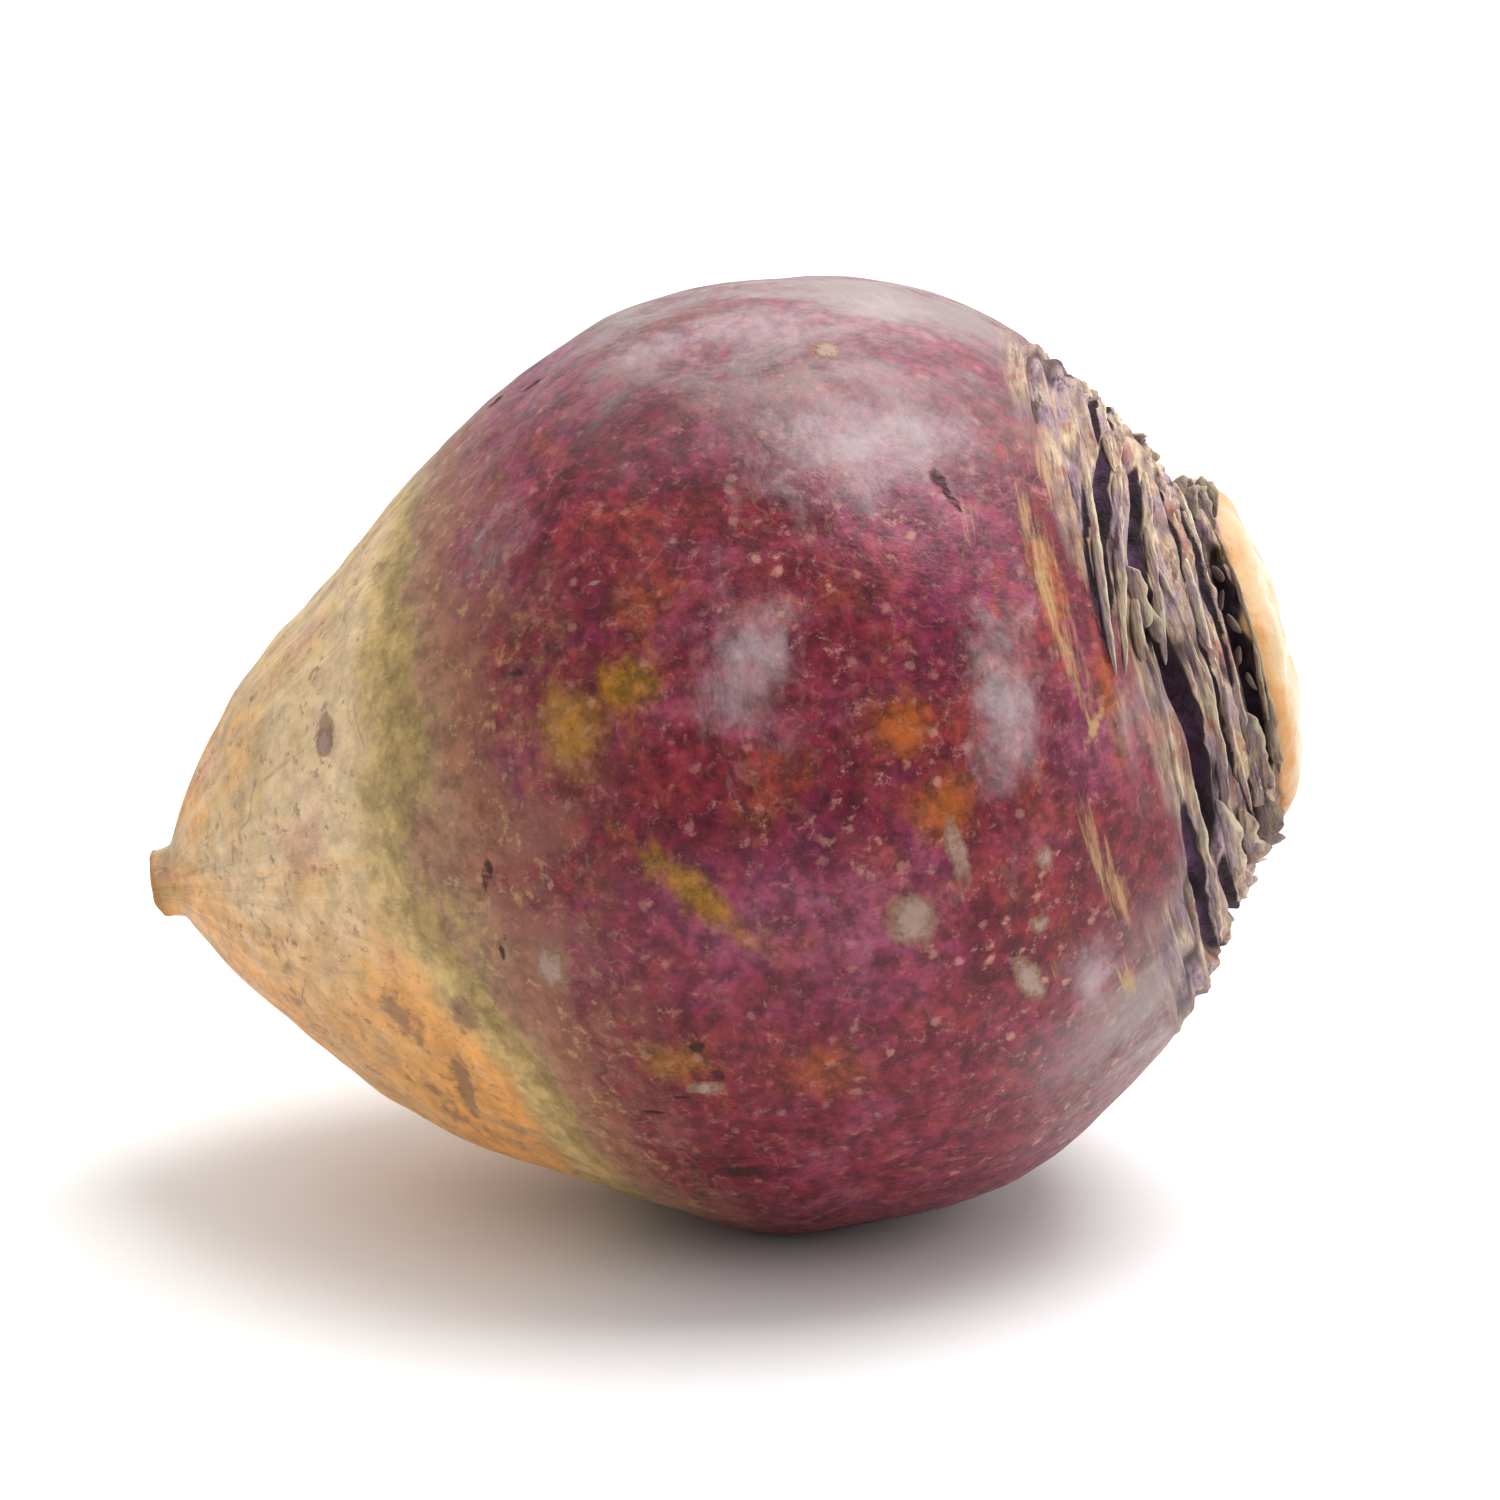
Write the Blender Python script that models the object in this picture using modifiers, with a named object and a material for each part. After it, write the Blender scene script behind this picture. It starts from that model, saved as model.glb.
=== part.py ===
"""A swede lying on its side, modelled as the one solid that it grew as.

Metres, +Z up. The origin is the centre of the small flat spot that it rests on. The long axis
runs along +X towards the crown and rises at LEAN. "Along" is the distance on the long axis from
the widest ring, positive towards the crown. "Around" is the turn about the long axis, from
straight up and over towards -Y.
"""

import math

import bpy
import numpy as np

# Overall sizes
WIDEST_RADIUS = 0.0588
ROOT_LENGTH = 0.0762  # widest ring to the end of the cone
CROWN_HEIGHT = 0.0600  # widest ring to the rim of the leaf scars
LEAN = math.radians(14.0)  # long axis above the floor

# Root cone and shoulder: radius = WIDEST_RADIUS * (1 - share ** bulge) ** blunt
ROOT_BULGE = 1.26
ROOT_BLUNT = 0.716
ROOT_SOFTENING = 0.16  # rounds the turn from belly to cone
SHOULDER_OVERRUN = 0.0042  # how far above the rim the shoulder's own curve would close
SHOULDER_BULGE = 2.85
SHOULDER_BLUNT = 0.695

# Neck of leaf scars and the cut above it
NECK_RADIUS = 0.0216
NECK_SLOPE = 0.50  # widening for each metre below the rim
CUT_RISE = 0.0064
CUT_SQUARENESS = 2.4  # 2 is a round dome, more is a flatter face with a rounder edge
CROWN_TILT = math.radians(8.0)  # the rings and the cut face a little towards +Y
CROWN_TILT_START = 0.034  # where the tilt sets in, from the widest ring
SCAR_RINGS = 5
SCAR_PITCH = 0.0038
SCAR_DEPTH = 0.0010
SCAR_WAVE = 0.0007  # how far a ring wanders along the axis
SCAR_WAVES = ((2, 0.6, 1.0), (3, 2.1, 0.6))  # waves in a turn, phase, share of SCAR_WAVE

# Trimmed tap root
TAP_RADIUS = 0.0050
TAP_LENGTH = 0.0020  # stub beyond the cone
TAP_CUT_RISE = 0.0014
TAP_BLEND = 2  # a higher power hides the tap root until nearer the end

# Growth: the axis bows, and broad lumps lie on the skin
AXIS_BOW = 0.0025  # how far the root's end curves upwards
FLAT_DEPTH = 0.0020  # how much of the belly the flat spot takes away

# Each lump: along, around in degrees, height, spread along, spread around in degrees
LUMPS = (
    (0.012, 10, 0.0017, 0.022, 50),
    (-0.024, 0, -0.0009, 0.013, 45),
    (-0.044, 0, -0.0015, 0.013, 45),
    (-0.056, 180, 0.0018, 0.012, 50),
    (-0.030, 180, -0.0016, 0.014, 45),
    (0.002, 180, -0.0006, 0.020, 45),
    (0.034, 175, -0.0012, 0.012, 40),
    (0.005, 250, 0.0014, 0.030, 30),
    (-0.010, 295, -0.0013, 0.040, 22),
    (-0.045, 100, -0.0007, 0.014, 28),
    (0.038, 75, 0.0006, 0.012, 30),
    (0.036, 300, 0.0008, 0.012, 30),
)

# Fineness of the solid
TURN_STEPS = 50
CONE_STEPS = 26
NECK_STEP = 0.00085
CUT_STEPS = 6
TAP_CUT_STEPS = 3
MERGE = 0.00002

SKIN_COLOUR = (0.24, 0.045, 0.075, 1.0)
SKIN_ROUGHNESS = 0.45


def clear_scene():
    for obj in list(bpy.data.objects):
        bpy.data.objects.remove(obj, do_unlink=True)


def cone_radius(along):
    """Radius below the widest ring: the root cone, never thinner than the tap root."""
    share = np.clip(-along / ROOT_LENGTH, 0, 1)
    softened = np.hypot(share, ROOT_SOFTENING) - ROOT_SOFTENING
    softened /= math.hypot(1, ROOT_SOFTENING) - ROOT_SOFTENING
    cone = WIDEST_RADIUS * (1 - np.clip(softened, 0, 1) ** ROOT_BULGE) ** ROOT_BLUNT
    return np.hypot(cone, TAP_RADIUS * share**TAP_BLEND)


def shoulder_radius(along):
    """Radius above the widest ring: the shoulder, never thinner than the sloping neck."""
    share = np.clip(along / (CROWN_HEIGHT + SHOULDER_OVERRUN), 0, 1)
    shoulder = WIDEST_RADIUS * (1 - share**SHOULDER_BULGE) ** SHOULDER_BLUNT
    neck = NECK_RADIUS + NECK_SLOPE * (CROWN_HEIGHT - along)
    return np.maximum(shoulder, neck)


def neck_top():
    """Distances along the neck, from the rim down past the last ring of scars."""
    depth = (SCAR_RINGS + 0.5) * SCAR_PITCH
    return np.arange(CROWN_HEIGHT, CROWN_HEIGHT - depth, -NECK_STEP)


def dome(radius, height, rise, steps):
    """(radius, height) points of a squarish quarter ellipse, from its pole almost to its rim."""
    turn = np.linspace(0, math.pi / 2, steps, endpoint=False)
    power = 2 / CUT_SQUARENESS
    return np.column_stack([radius * np.sin(turn) ** power, height + rise * np.cos(turn) ** power])


def outline():
    """(radius, along) from the middle of the cut, over the rim and down to the tap root's end."""
    cut = dome(NECK_RADIUS, CROWN_HEIGHT, CUT_RISE, CUT_STEPS)
    neck = neck_top()
    lowest = neck[-1] - NECK_STEP
    sweep = np.linspace(0, math.pi, CONE_STEPS)
    body = lowest - (lowest + ROOT_LENGTH) * (1 - np.cos(sweep)) / 2
    along = np.concatenate([neck, body])
    radius = np.where(along > 0, shoulder_radius(along), cone_radius(along))
    skin = np.column_stack([radius, along])
    stub = dome(TAP_RADIUS, -ROOT_LENGTH - TAP_LENGTH, -TAP_CUT_RISE, TAP_CUT_STEPS)
    rim = [(TAP_RADIUS, -ROOT_LENGTH - TAP_LENGTH)]
    return np.concatenate([cut, skin, rim, stub[::-1]])


def collection_named(name):
    made = bpy.data.collections.new(name)
    bpy.context.scene.collection.children.link(made)
    return made


def turned(name, points, home):
    """Solid of revolution about Z, from (radius, height) points that run down its outer side."""
    mesh = bpy.data.meshes.new(name)
    corners = [(radius, 0.0, height) for radius, height in points]
    edges = [(i, i + 1) for i in range(len(corners) - 1)]
    mesh.from_pydata(corners, edges, [])
    profile = bpy.data.objects.new(name + "_profile", mesh)
    home.objects.link(profile)
    screw = profile.modifiers.new("turn", "SCREW")
    screw.steps = TURN_STEPS
    screw.render_steps = TURN_STEPS
    screw.use_merge_vertices = True
    screw.merge_threshold = MERGE
    bpy.context.view_layer.update()
    evaluated = profile.evaluated_get(bpy.context.evaluated_depsgraph_get())
    body = bpy.data.meshes.new_from_object(evaluated)
    bpy.data.objects.remove(profile, do_unlink=True)
    obj = bpy.data.objects.new(name, body)
    home.objects.link(obj)
    return obj


def lump_height(along, around):
    """Height of the broad lumps: a sum of soft bumps, each a bell along and around the skin."""
    height = np.zeros_like(along)
    for at, turn, rise, spread, arc in LUMPS:
        off = (np.degrees(around) - turn + 180) % 360 - 180
        height += rise * np.exp(-(((along - at) / spread) ** 2) - (off / arc) ** 2)
    return height


def scar_height(along, around):
    """Depth of the rings of leaf scars: wavy ridges on the neck, which fade below the last."""
    wander = sum(share * np.sin(waves * around + phase) for waves, phase, share in SCAR_WAVES)
    below = (CROWN_HEIGHT - along + SCAR_WAVE * wander) / SCAR_PITCH
    fade = np.clip(SCAR_RINGS + 0.5 - below, 0, 1) * np.clip(2 * below, 0, 1)
    on_neck = along <= CROWN_HEIGHT
    return SCAR_DEPTH * fade * on_neck * (np.cos(2 * math.pi * below) - 1) / 2


def grow(obj):
    """Moves each point out or in by the lumps and scars, tilts the crown and bows the axis."""
    count = len(obj.data.vertices)
    place = np.empty(count * 3, np.float32)
    obj.data.vertices.foreach_get("co", place)
    place = place.reshape(-1, 3).astype(float)
    along = place[:, 2].copy()
    radius = np.hypot(place[:, 0], place[:, 1])
    around = np.arctan2(-place[:, 1], -place[:, 0])
    rise = lump_height(along, around) + scar_height(along, around)
    share = np.divide(rise, radius, out=np.zeros(count), where=radius > TAP_RADIUS)
    place[:, :2] *= (1 + share)[:, None]
    crown = np.clip((along - CROWN_TILT_START) / (CROWN_HEIGHT - CROWN_TILT_START), 0, 1)
    place[:, 2] -= math.tan(CROWN_TILT) * crown**2 * place[:, 1]
    place[:, 0] -= AXIS_BOW * (along / ROOT_LENGTH) ** 2
    obj.data.vertices.foreach_set("co", place.ravel())
    obj.data.update()


def lay_down(obj):
    """Tips the standing root onto its side and lowers its belly to FLAT_DEPTH under the floor."""
    obj.rotation_euler = (0.0, math.pi / 2 - LEAN, 0.0)
    bpy.context.view_layer.update()
    count = len(obj.data.vertices)
    place = np.empty(count * 3, np.float32)
    obj.data.vertices.foreach_get("co", place)
    turn = np.array(obj.matrix_world.to_3x3())
    place = place.reshape(-1, 3) @ turn.T
    belly = place[:, 2] < place[:, 2].min() + FLAT_DEPTH
    middle = (place[belly].min(axis=0) + place[belly].max(axis=0)) / 2
    obj.location = (-middle[0], -middle[1], -place[:, 2].min() - FLAT_DEPTH)


def cut_flat_spot(obj, home):
    """Takes away what lies under the floor, which leaves the small flat spot."""
    side = 4 * WIDEST_RADIUS
    bpy.ops.mesh.primitive_cube_add(size=side, location=(0.0, 0.0, -side / 2))
    floor = bpy.context.object
    floor.name = "floor_cutter"
    for holder in list(floor.users_collection):
        holder.objects.unlink(floor)
    home.objects.link(floor)
    floor.hide_render = True
    floor.display_type = "WIRE"
    cut = obj.modifiers.new("flat_spot", "BOOLEAN")
    cut.operation = "DIFFERENCE"
    cut.solver = "EXACT"
    cut.object = floor


def skin_material():
    made = bpy.data.materials.new("swede_skin")
    made.use_nodes = True
    shader = made.node_tree.nodes["Principled BSDF"]
    shader.inputs["Base Color"].default_value = SKIN_COLOUR
    shader.inputs["Roughness"].default_value = SKIN_ROUGHNESS
    shader.inputs["Metallic"].default_value = 0.0
    made.diffuse_color = SKIN_COLOUR
    return made


def build():
    clear_scene()
    parts = collection_named("swede_parts")
    cutters = collection_named("swede_cutters")
    swede = turned("swede", outline(), parts)
    grow(swede)
    swede.data.shade_smooth()
    swede.data.materials.append(skin_material())
    lay_down(swede)
    cut_flat_spot(swede, cutters)


build()
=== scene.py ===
"""A swede lying on its side: purple waxy skin, cream root, corky leaf scars and a pale cut crown.

Metres, +Z up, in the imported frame's own place. "Along" is the distance on the long axis from the
widest ring, positive towards the crown. "Around" is the turn about the long axis, from straight
up and over towards -Y. "Arc" is the distance on the skin down one meridian from the cut's middle.
"""

import functools
import logging
import math
from dataclasses import dataclass, field
from enum import Enum
from typing import Optional, Sequence, Union

import bpy
import numpy as np
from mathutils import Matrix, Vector


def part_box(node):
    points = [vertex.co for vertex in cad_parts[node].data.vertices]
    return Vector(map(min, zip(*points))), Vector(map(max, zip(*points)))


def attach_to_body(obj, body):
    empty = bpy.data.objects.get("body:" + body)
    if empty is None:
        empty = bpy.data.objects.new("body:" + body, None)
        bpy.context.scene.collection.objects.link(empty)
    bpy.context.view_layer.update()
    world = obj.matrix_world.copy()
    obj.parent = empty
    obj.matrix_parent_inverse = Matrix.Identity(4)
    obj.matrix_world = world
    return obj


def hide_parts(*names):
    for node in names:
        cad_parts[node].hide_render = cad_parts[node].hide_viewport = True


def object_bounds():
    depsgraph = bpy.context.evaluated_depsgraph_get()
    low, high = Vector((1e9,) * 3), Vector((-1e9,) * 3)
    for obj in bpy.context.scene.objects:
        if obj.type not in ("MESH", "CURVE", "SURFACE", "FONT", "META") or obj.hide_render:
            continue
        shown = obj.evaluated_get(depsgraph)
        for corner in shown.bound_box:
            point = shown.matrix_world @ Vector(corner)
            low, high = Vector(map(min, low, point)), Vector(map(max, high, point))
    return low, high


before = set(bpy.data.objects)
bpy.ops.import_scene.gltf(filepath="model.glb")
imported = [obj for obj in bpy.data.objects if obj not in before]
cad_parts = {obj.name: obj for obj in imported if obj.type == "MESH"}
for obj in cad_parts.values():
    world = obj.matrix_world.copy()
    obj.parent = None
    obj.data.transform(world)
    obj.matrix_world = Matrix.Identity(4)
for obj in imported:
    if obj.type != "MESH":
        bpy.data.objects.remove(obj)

CAD_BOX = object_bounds()
BODY = "root"
NODE = "swede"
MM = 0.001
WHITE = (1.0, 1.0, 1.0)
GROWTH_DRUM = 0.050  # radius of the plain cylinder that stretched patterns lie on
FULL_TURN = 2 * math.pi

Colour = tuple[float, float, float]
Socket = bpy.types.NodeSocket
Feed = Union[Socket, float, Sequence[float]]

log = logging.getLogger("swede")


# ---------------------------------------------------------------- arrays


def smooth(value: np.ndarray, low: float, high: float) -> np.ndarray:
    """Smoothstep: 0 below low, 1 above high, and 3t^2 - 2t^3 of the share t between."""
    share = np.clip((value - low) / (high - low), 0.0, 1.0)
    return share * share * (3.0 - 2.0 * share)


def turn_between(around: np.ndarray, degrees: float) -> np.ndarray:
    """Signed angle in degrees from a given direction, the short way round."""
    return (np.degrees(around) - degrees + 180.0) % 360.0 - 180.0


def unit(vectors: np.ndarray) -> np.ndarray:
    """Each vector over its own length."""
    return vectors / np.maximum(np.linalg.norm(vectors, axis=-1, keepdims=True), 1e-12)


def on_drum(around: np.ndarray, along: np.ndarray) -> np.ndarray:
    """Points on a plain cylinder, for patterns that run around the skin or along it."""
    return np.stack([GROWTH_DRUM * np.cos(around), GROWTH_DRUM * np.sin(around), along], axis=-1)


@dataclass(frozen=True)
class LatticeNoise:
    """Smooth noise in -1 to 1 from random values on a cubic lattice.

    Each point takes the eight values at the corners of its cell, weighted by smoothstep of its
    place in the cell, summed over octaves of half the size and half the height.
    """

    seed: int
    size: int = 64
    octave_shift: float = 17.3

    @functools.cached_property
    def lattice(self) -> np.ndarray:
        """The random values, which repeat every `size` cells."""
        return np.random.default_rng(self.seed).uniform(-1.0, 1.0, (self.size,) * 3)

    def at(self, place: np.ndarray, cell: float, octaves: int = 1) -> np.ndarray:
        """Noise at each point.

        Args:
            place: points in metres, with x, y and z on the last axis.
            cell: size of the largest cell in metres.
            octaves: how many halvings are summed.

        Returns:
            One value for each point.
        """
        total = np.zeros(place.shape[:-1])
        for octave in range(octaves):
            scaled = place / (cell / 2**octave) + self.octave_shift * octave
            whole = np.floor(scaled).astype(int)
            part = scaled - whole
            part = part * part * (3.0 - 2.0 * part)
            octave_sum = np.zeros(place.shape[:-1])
            for corner in np.ndindex(2, 2, 2):
                step = np.array(corner)
                weight = np.prod(np.where(step == 1, part, 1.0 - part), axis=-1)
                x, y, z = np.moveaxis((whole + step) % self.size, -1, 0)
                octave_sum += weight * self.lattice[x, y, z]
            total += octave_sum / 2**octave
        return total


# ---------------------------------------------------------------- form


@dataclass(frozen=True)
class Lump:
    """A broad swelling: a bell along and around the skin."""

    along: float
    around: float
    rise: float
    spread: float
    arc: float

    def height(self, along: np.ndarray, around: np.ndarray) -> np.ndarray:
        """rise * exp(-(distance along / spread)^2 - (degrees around / arc)^2)."""
        off = turn_between(around, self.around) / self.arc
        return self.rise * np.exp(-(((along - self.along) / self.spread) ** 2) - off**2)


# Each lump: along, around in degrees, rise, spread along, arc in degrees
LUMPS = (
    Lump(0.012, 10, 0.0017, 0.022, 50),
    Lump(-0.024, 0, -0.0009, 0.013, 45),
    Lump(-0.044, 0, -0.0015, 0.013, 45),
    Lump(-0.056, 180, 0.0018, 0.012, 50),
    Lump(-0.030, 180, -0.0016, 0.014, 45),
    Lump(0.002, 180, -0.0006, 0.020, 45),
    Lump(0.034, 175, -0.0012, 0.012, 40),
    Lump(0.005, 250, 0.0014, 0.030, 30),
    Lump(-0.010, 295, -0.0013, 0.040, 22),
    Lump(-0.045, 100, -0.0007, 0.014, 28),
    Lump(0.038, 75, 0.0006, 0.012, 30),
    Lump(0.036, 300, 0.0008, 0.012, 30),
)


@dataclass(frozen=True)
class SwedeForm:
    """The grown shape without its fine relief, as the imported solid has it."""

    widest_radius: float = 0.0588
    root_length: float = 0.0762
    crown_height: float = 0.0600
    lean: float = math.radians(14.0)
    root_bulge: float = 1.26
    root_blunt: float = 0.716
    root_softening: float = 0.16
    shoulder_overrun: float = 0.0042
    shoulder_bulge: float = 2.85
    shoulder_blunt: float = 0.695
    neck_radius: float = 0.0216
    neck_slope: float = 0.50
    cut_rise: float = 0.0064
    cut_squareness: float = 2.4
    crown_tilt: float = math.radians(8.0)
    crown_tilt_start: float = 0.034
    tap_radius: float = 0.0050
    tap_length: float = 0.0020
    tap_cut_rise: float = 0.0014
    tap_blend: float = 2.0
    axis_bow: float = 0.0025
    profile_steps: int = 2400
    stub_steps: int = 12
    even_tap: float = 2.2  # lumps reach full height at this many tap root radii

    def cone_radius(self, along: np.ndarray) -> np.ndarray:
        """Radius below the widest ring.

        The cone is widest * (1 - share^bulge)^blunt, where share runs from 0 at the widest ring
        to 1 at the end and is softened near 0. The tap root joins it as a right triangle's side.

        Args:
            along: distances on the long axis, at or below 0.

        Returns:
            The radius at each.
        """
        share = np.clip(-along / self.root_length, 0, 1)
        softened = np.hypot(share, self.root_softening) - self.root_softening
        softened /= math.hypot(1, self.root_softening) - self.root_softening
        cone = (1 - np.clip(softened, 0, 1) ** self.root_bulge) ** self.root_blunt
        return np.hypot(self.widest_radius * cone, self.tap_radius * share**self.tap_blend)

    def shoulder_radius(self, along: np.ndarray) -> np.ndarray:
        """Radius above the widest ring: the shoulder's curve, or the sloping neck if wider.

        Args:
            along: distances on the long axis, at or above 0.

        Returns:
            The radius at each.
        """
        share = np.clip(along / (self.crown_height + self.shoulder_overrun), 0, 1)
        shoulder = (1 - share**self.shoulder_bulge) ** self.shoulder_blunt
        neck = self.neck_radius + self.neck_slope * (self.crown_height - along)
        return np.maximum(self.widest_radius * shoulder, neck)

    def dome(self, radius: float, height: float, rise: float) -> np.ndarray:
        """(radius, along) down a squarish quarter ellipse: powers of a sine and a cosine.

        Args:
            radius: radius at the rim.
            height: place of the rim along the axis.
            rise: how far the pole stands past the rim.

        Returns:
            Rows from the pole to the rim.
        """
        turn = np.linspace(0, math.pi / 2, self.profile_steps // 8)
        power = 2 / self.cut_squareness
        return np.column_stack([radius * np.sin(turn) ** power, height + rise * np.cos(turn) ** power])

    @functools.cached_property
    def profile(self) -> np.ndarray:
        """(radius, along) rows from the cut's middle, over the skin, to the tap root's middle.

        Returns:
            Two columns, in metres.
        """
        cut = self.dome(self.neck_radius, self.crown_height, self.cut_rise)
        along = np.linspace(self.crown_height, -self.root_length, self.profile_steps)
        radius = np.where(along > 0, self.shoulder_radius(along), self.cone_radius(along))
        skin = np.column_stack([radius, along])
        end = -self.root_length - self.tap_length
        stub_along = np.linspace(-self.root_length, end, self.stub_steps)
        stub = np.column_stack([np.full(self.stub_steps, self.tap_radius), stub_along])
        tap = self.dome(self.tap_radius, end, -self.tap_cut_rise)[::-1]
        return np.concatenate([cut, skin[1:], stub[1:], tap[1:]])

    @functools.cached_property
    def steps(self) -> np.ndarray:
        """Distance between each two neighbouring rows of the profile."""
        return np.hypot(*np.diff(self.profile, axis=0).T)

    @functools.cached_property
    def arcs(self) -> np.ndarray:
        """Distance down the meridian from the cut's middle to each row of the profile."""
        return np.concatenate([[0.0], np.cumsum(self.steps)])

    def arc_of(self, along: np.ndarray) -> np.ndarray:
        """Distance down the meridian from the cut's middle to each place along the axis."""
        return np.interp(-np.asarray(along), -self.profile[:, 1], self.arcs)

    def radius_of(self, along: np.ndarray) -> np.ndarray:
        """Radius of the profile at each place along the axis."""
        return np.interp(-np.asarray(along), -self.profile[:, 1], self.profile[:, 0])

    def lying(self, radius: np.ndarray, along: np.ndarray, around: np.ndarray) -> np.ndarray:
        """Points of the turned outline with its lumps, tilt and bow, leant over but not yet placed.

        A point starts at radius and around about the upright axis. The lumps scale its radius, the
        crown tilts by a share that grows as a square, the axis bows by a square, and the whole
        turns about Y until the axis lies at the lean.

        Args:
            radius: distance from the axis.
            along: distance on the axis.
            around: turn about the axis in radians.

        Returns:
            Points with x, y and z on the last axis.
        """
        rise = sum(lump.height(along, around) for lump in LUMPS)
        grown = radius + rise * smooth(radius, self.tap_radius, self.even_tap * self.tap_radius)
        grown = np.where(along > self.crown_height, radius * (1 + rise / self.neck_radius), grown)
        x = -grown * np.cos(around)
        y = -grown * np.sin(around)
        span = self.crown_height - self.crown_tilt_start
        crown = np.clip((along - self.crown_tilt_start) / span, 0, 1)
        z = along - math.tan(self.crown_tilt) * crown**2 * y
        x = x - self.axis_bow * (along / self.root_length) ** 2
        cosine = math.cos(math.pi / 2 - self.lean)
        sine = math.sin(math.pi / 2 - self.lean)
        return np.stack([x * cosine + z * sine, y, z * cosine - x * sine], axis=-1)

    @functools.cached_property
    def shift(self) -> np.ndarray:
        """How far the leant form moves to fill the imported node's box: its tip, middle and top.

        Returns:
            The move in x, y and z.
        """
        rows = self.profile[::12]
        around = np.linspace(0, FULL_TURN, 181)[None, :]
        points = self.lying(rows[:, :1], rows[:, 1:], around)
        low = points.min(axis=(0, 1))
        high = points.max(axis=(0, 1))
        box_low, box_high = (np.array(corner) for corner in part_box(NODE))
        middle = (box_low[1] + box_high[1] - low[1] - high[1]) / 2
        return np.array([box_low[0] - low[0], middle, box_high[2] - high[2]])

    def placed(self, radius: np.ndarray, along: np.ndarray, around: np.ndarray) -> np.ndarray:
        """The same points as lying(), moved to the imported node's own place."""
        return self.lying(radius, along, around) + self.shift


@dataclass
class SkinGrid:
    """The form sampled on rows down the meridians and columns around, with its directions."""

    form: SwedeForm
    columns: int = 384
    fine_step: float = 0.00030
    coarse_step: float = 0.00125
    cut_step: float = 0.00085
    fine_from: float = 0.0430
    fine_blend: float = 0.006
    rim_fine: float = 0.0012  # how far past the crown's rim the rows stay fine
    tap_from: float = 0.96  # share of the root's length where the tap root's rows begin
    cut_margin: float = 0.001

    def __post_init__(self) -> None:
        """Works out the rows, the angles, the points and the outward directions."""
        rows = self.form.profile
        picked = self.picked_rows()
        whole = np.arange(len(rows))
        radius, along, arc = (
            np.interp(picked, whole, column)[1:-1] for column in (*rows.T, self.form.arcs)
        )
        self.ends = (rows[0, 1], rows[-1, 1])
        turn = np.linspace(0, FULL_TURN, self.columns, endpoint=False)
        shape = (len(along), self.columns)
        self.around = np.broadcast_to(turn[None, :], shape)
        self.along, self.radius, self.arc = (
            np.broadcast_to(column[:, None], shape) for column in (along, radius, arc)
        )
        self.points = self.form.placed(self.radius, self.along, self.around)
        down = np.gradient(self.points, axis=0)
        over = np.roll(self.points, -1, axis=1) - np.roll(self.points, 1, axis=1)
        self.outward = unit(np.cross(over, down))
        middle = self.points.mean(axis=(0, 1))
        if np.sum(self.outward * (self.points - middle)) < 0:
            self.outward = -self.outward

    def picked_rows(self) -> np.ndarray:
        """Rows of the profile to keep, as fractional indices, closer together on the neck.

        The wanted step is a blend of the coarse and the fine one. Its inverse, summed along the
        profile, is a count of rows, and the picked rows are spread evenly over that count.

        Returns:
            The rows' places in the profile.
        """
        along = self.form.profile[:, 1]
        fine = smooth(along, self.fine_from - self.fine_blend, self.fine_from)
        pitch = self.coarse_step + (self.fine_step - self.coarse_step) * fine
        pitch = np.where(along > self.form.crown_height + self.rim_fine, self.cut_step, pitch)
        pitch = np.where(along < -self.form.root_length * self.tap_from, self.cut_step, pitch)
        density = np.cumsum(self.form.steps / (0.5 * (pitch[1:] + pitch[:-1])))
        density = np.concatenate([[0.0], density])
        wanted = np.linspace(0, density[-1], int(density[-1]))
        return np.interp(wanted, density, np.arange(len(along)))

    def on_cut(self) -> np.ndarray:
        """Whether each point is on the cut crown, past its rim."""
        return self.along > self.form.crown_height + self.cut_margin

    def growth(self, stretch: float = 1.0) -> np.ndarray:
        """Points on a plain cylinder whose length is stretched, so that a pattern runs around it."""
        return on_drum(self.around, self.along * stretch)


@dataclass
class Shell:
    """A closed skin: rings of points, with one point that closes each end."""

    points: np.ndarray
    first: np.ndarray
    last: np.ndarray

    def corners(self) -> np.ndarray:
        """All points, ring by ring, with the two end points last."""
        return np.concatenate([self.points.reshape(-1, 3), self.first[None], self.last[None]])

    def faces(self) -> tuple[np.ndarray, np.ndarray]:
        """Quads between neighbouring rings, and a fan of triangles at each end, facing outwards.

        Returns:
            Corner numbers of the quads and of the triangles.
        """
        rows, columns = self.points.shape[:2]
        index = np.arange(rows * columns).reshape(rows, columns)
        right = np.roll(index, -1, axis=1)
        quads = np.stack([index[:-1], right[:-1], right[1:], index[1:]], axis=-1).reshape(-1, 4)
        start = rows * columns
        top = np.stack([np.full(columns, start), right[0], index[0]], axis=-1)
        bottom = np.stack([np.full(columns, start + 1), index[-1], right[-1]], axis=-1)
        fans = np.concatenate([top, bottom])
        if volume_of(self.corners(), quads, fans) < 0:
            return quads[:, ::-1], fans[:, ::-1]
        return quads, fans


def in_scene(name: str, data: bpy.types.ID) -> bpy.types.Object:
    """Makes an object at the origin from a mesh, a light or a camera, and links it to the scene.

    Args:
        name: name of the object.
        data: what it shows.

    Returns:
        The object.
    """
    made = bpy.data.objects.new(name, data)
    bpy.context.scene.collection.objects.link(made)
    return made


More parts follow.
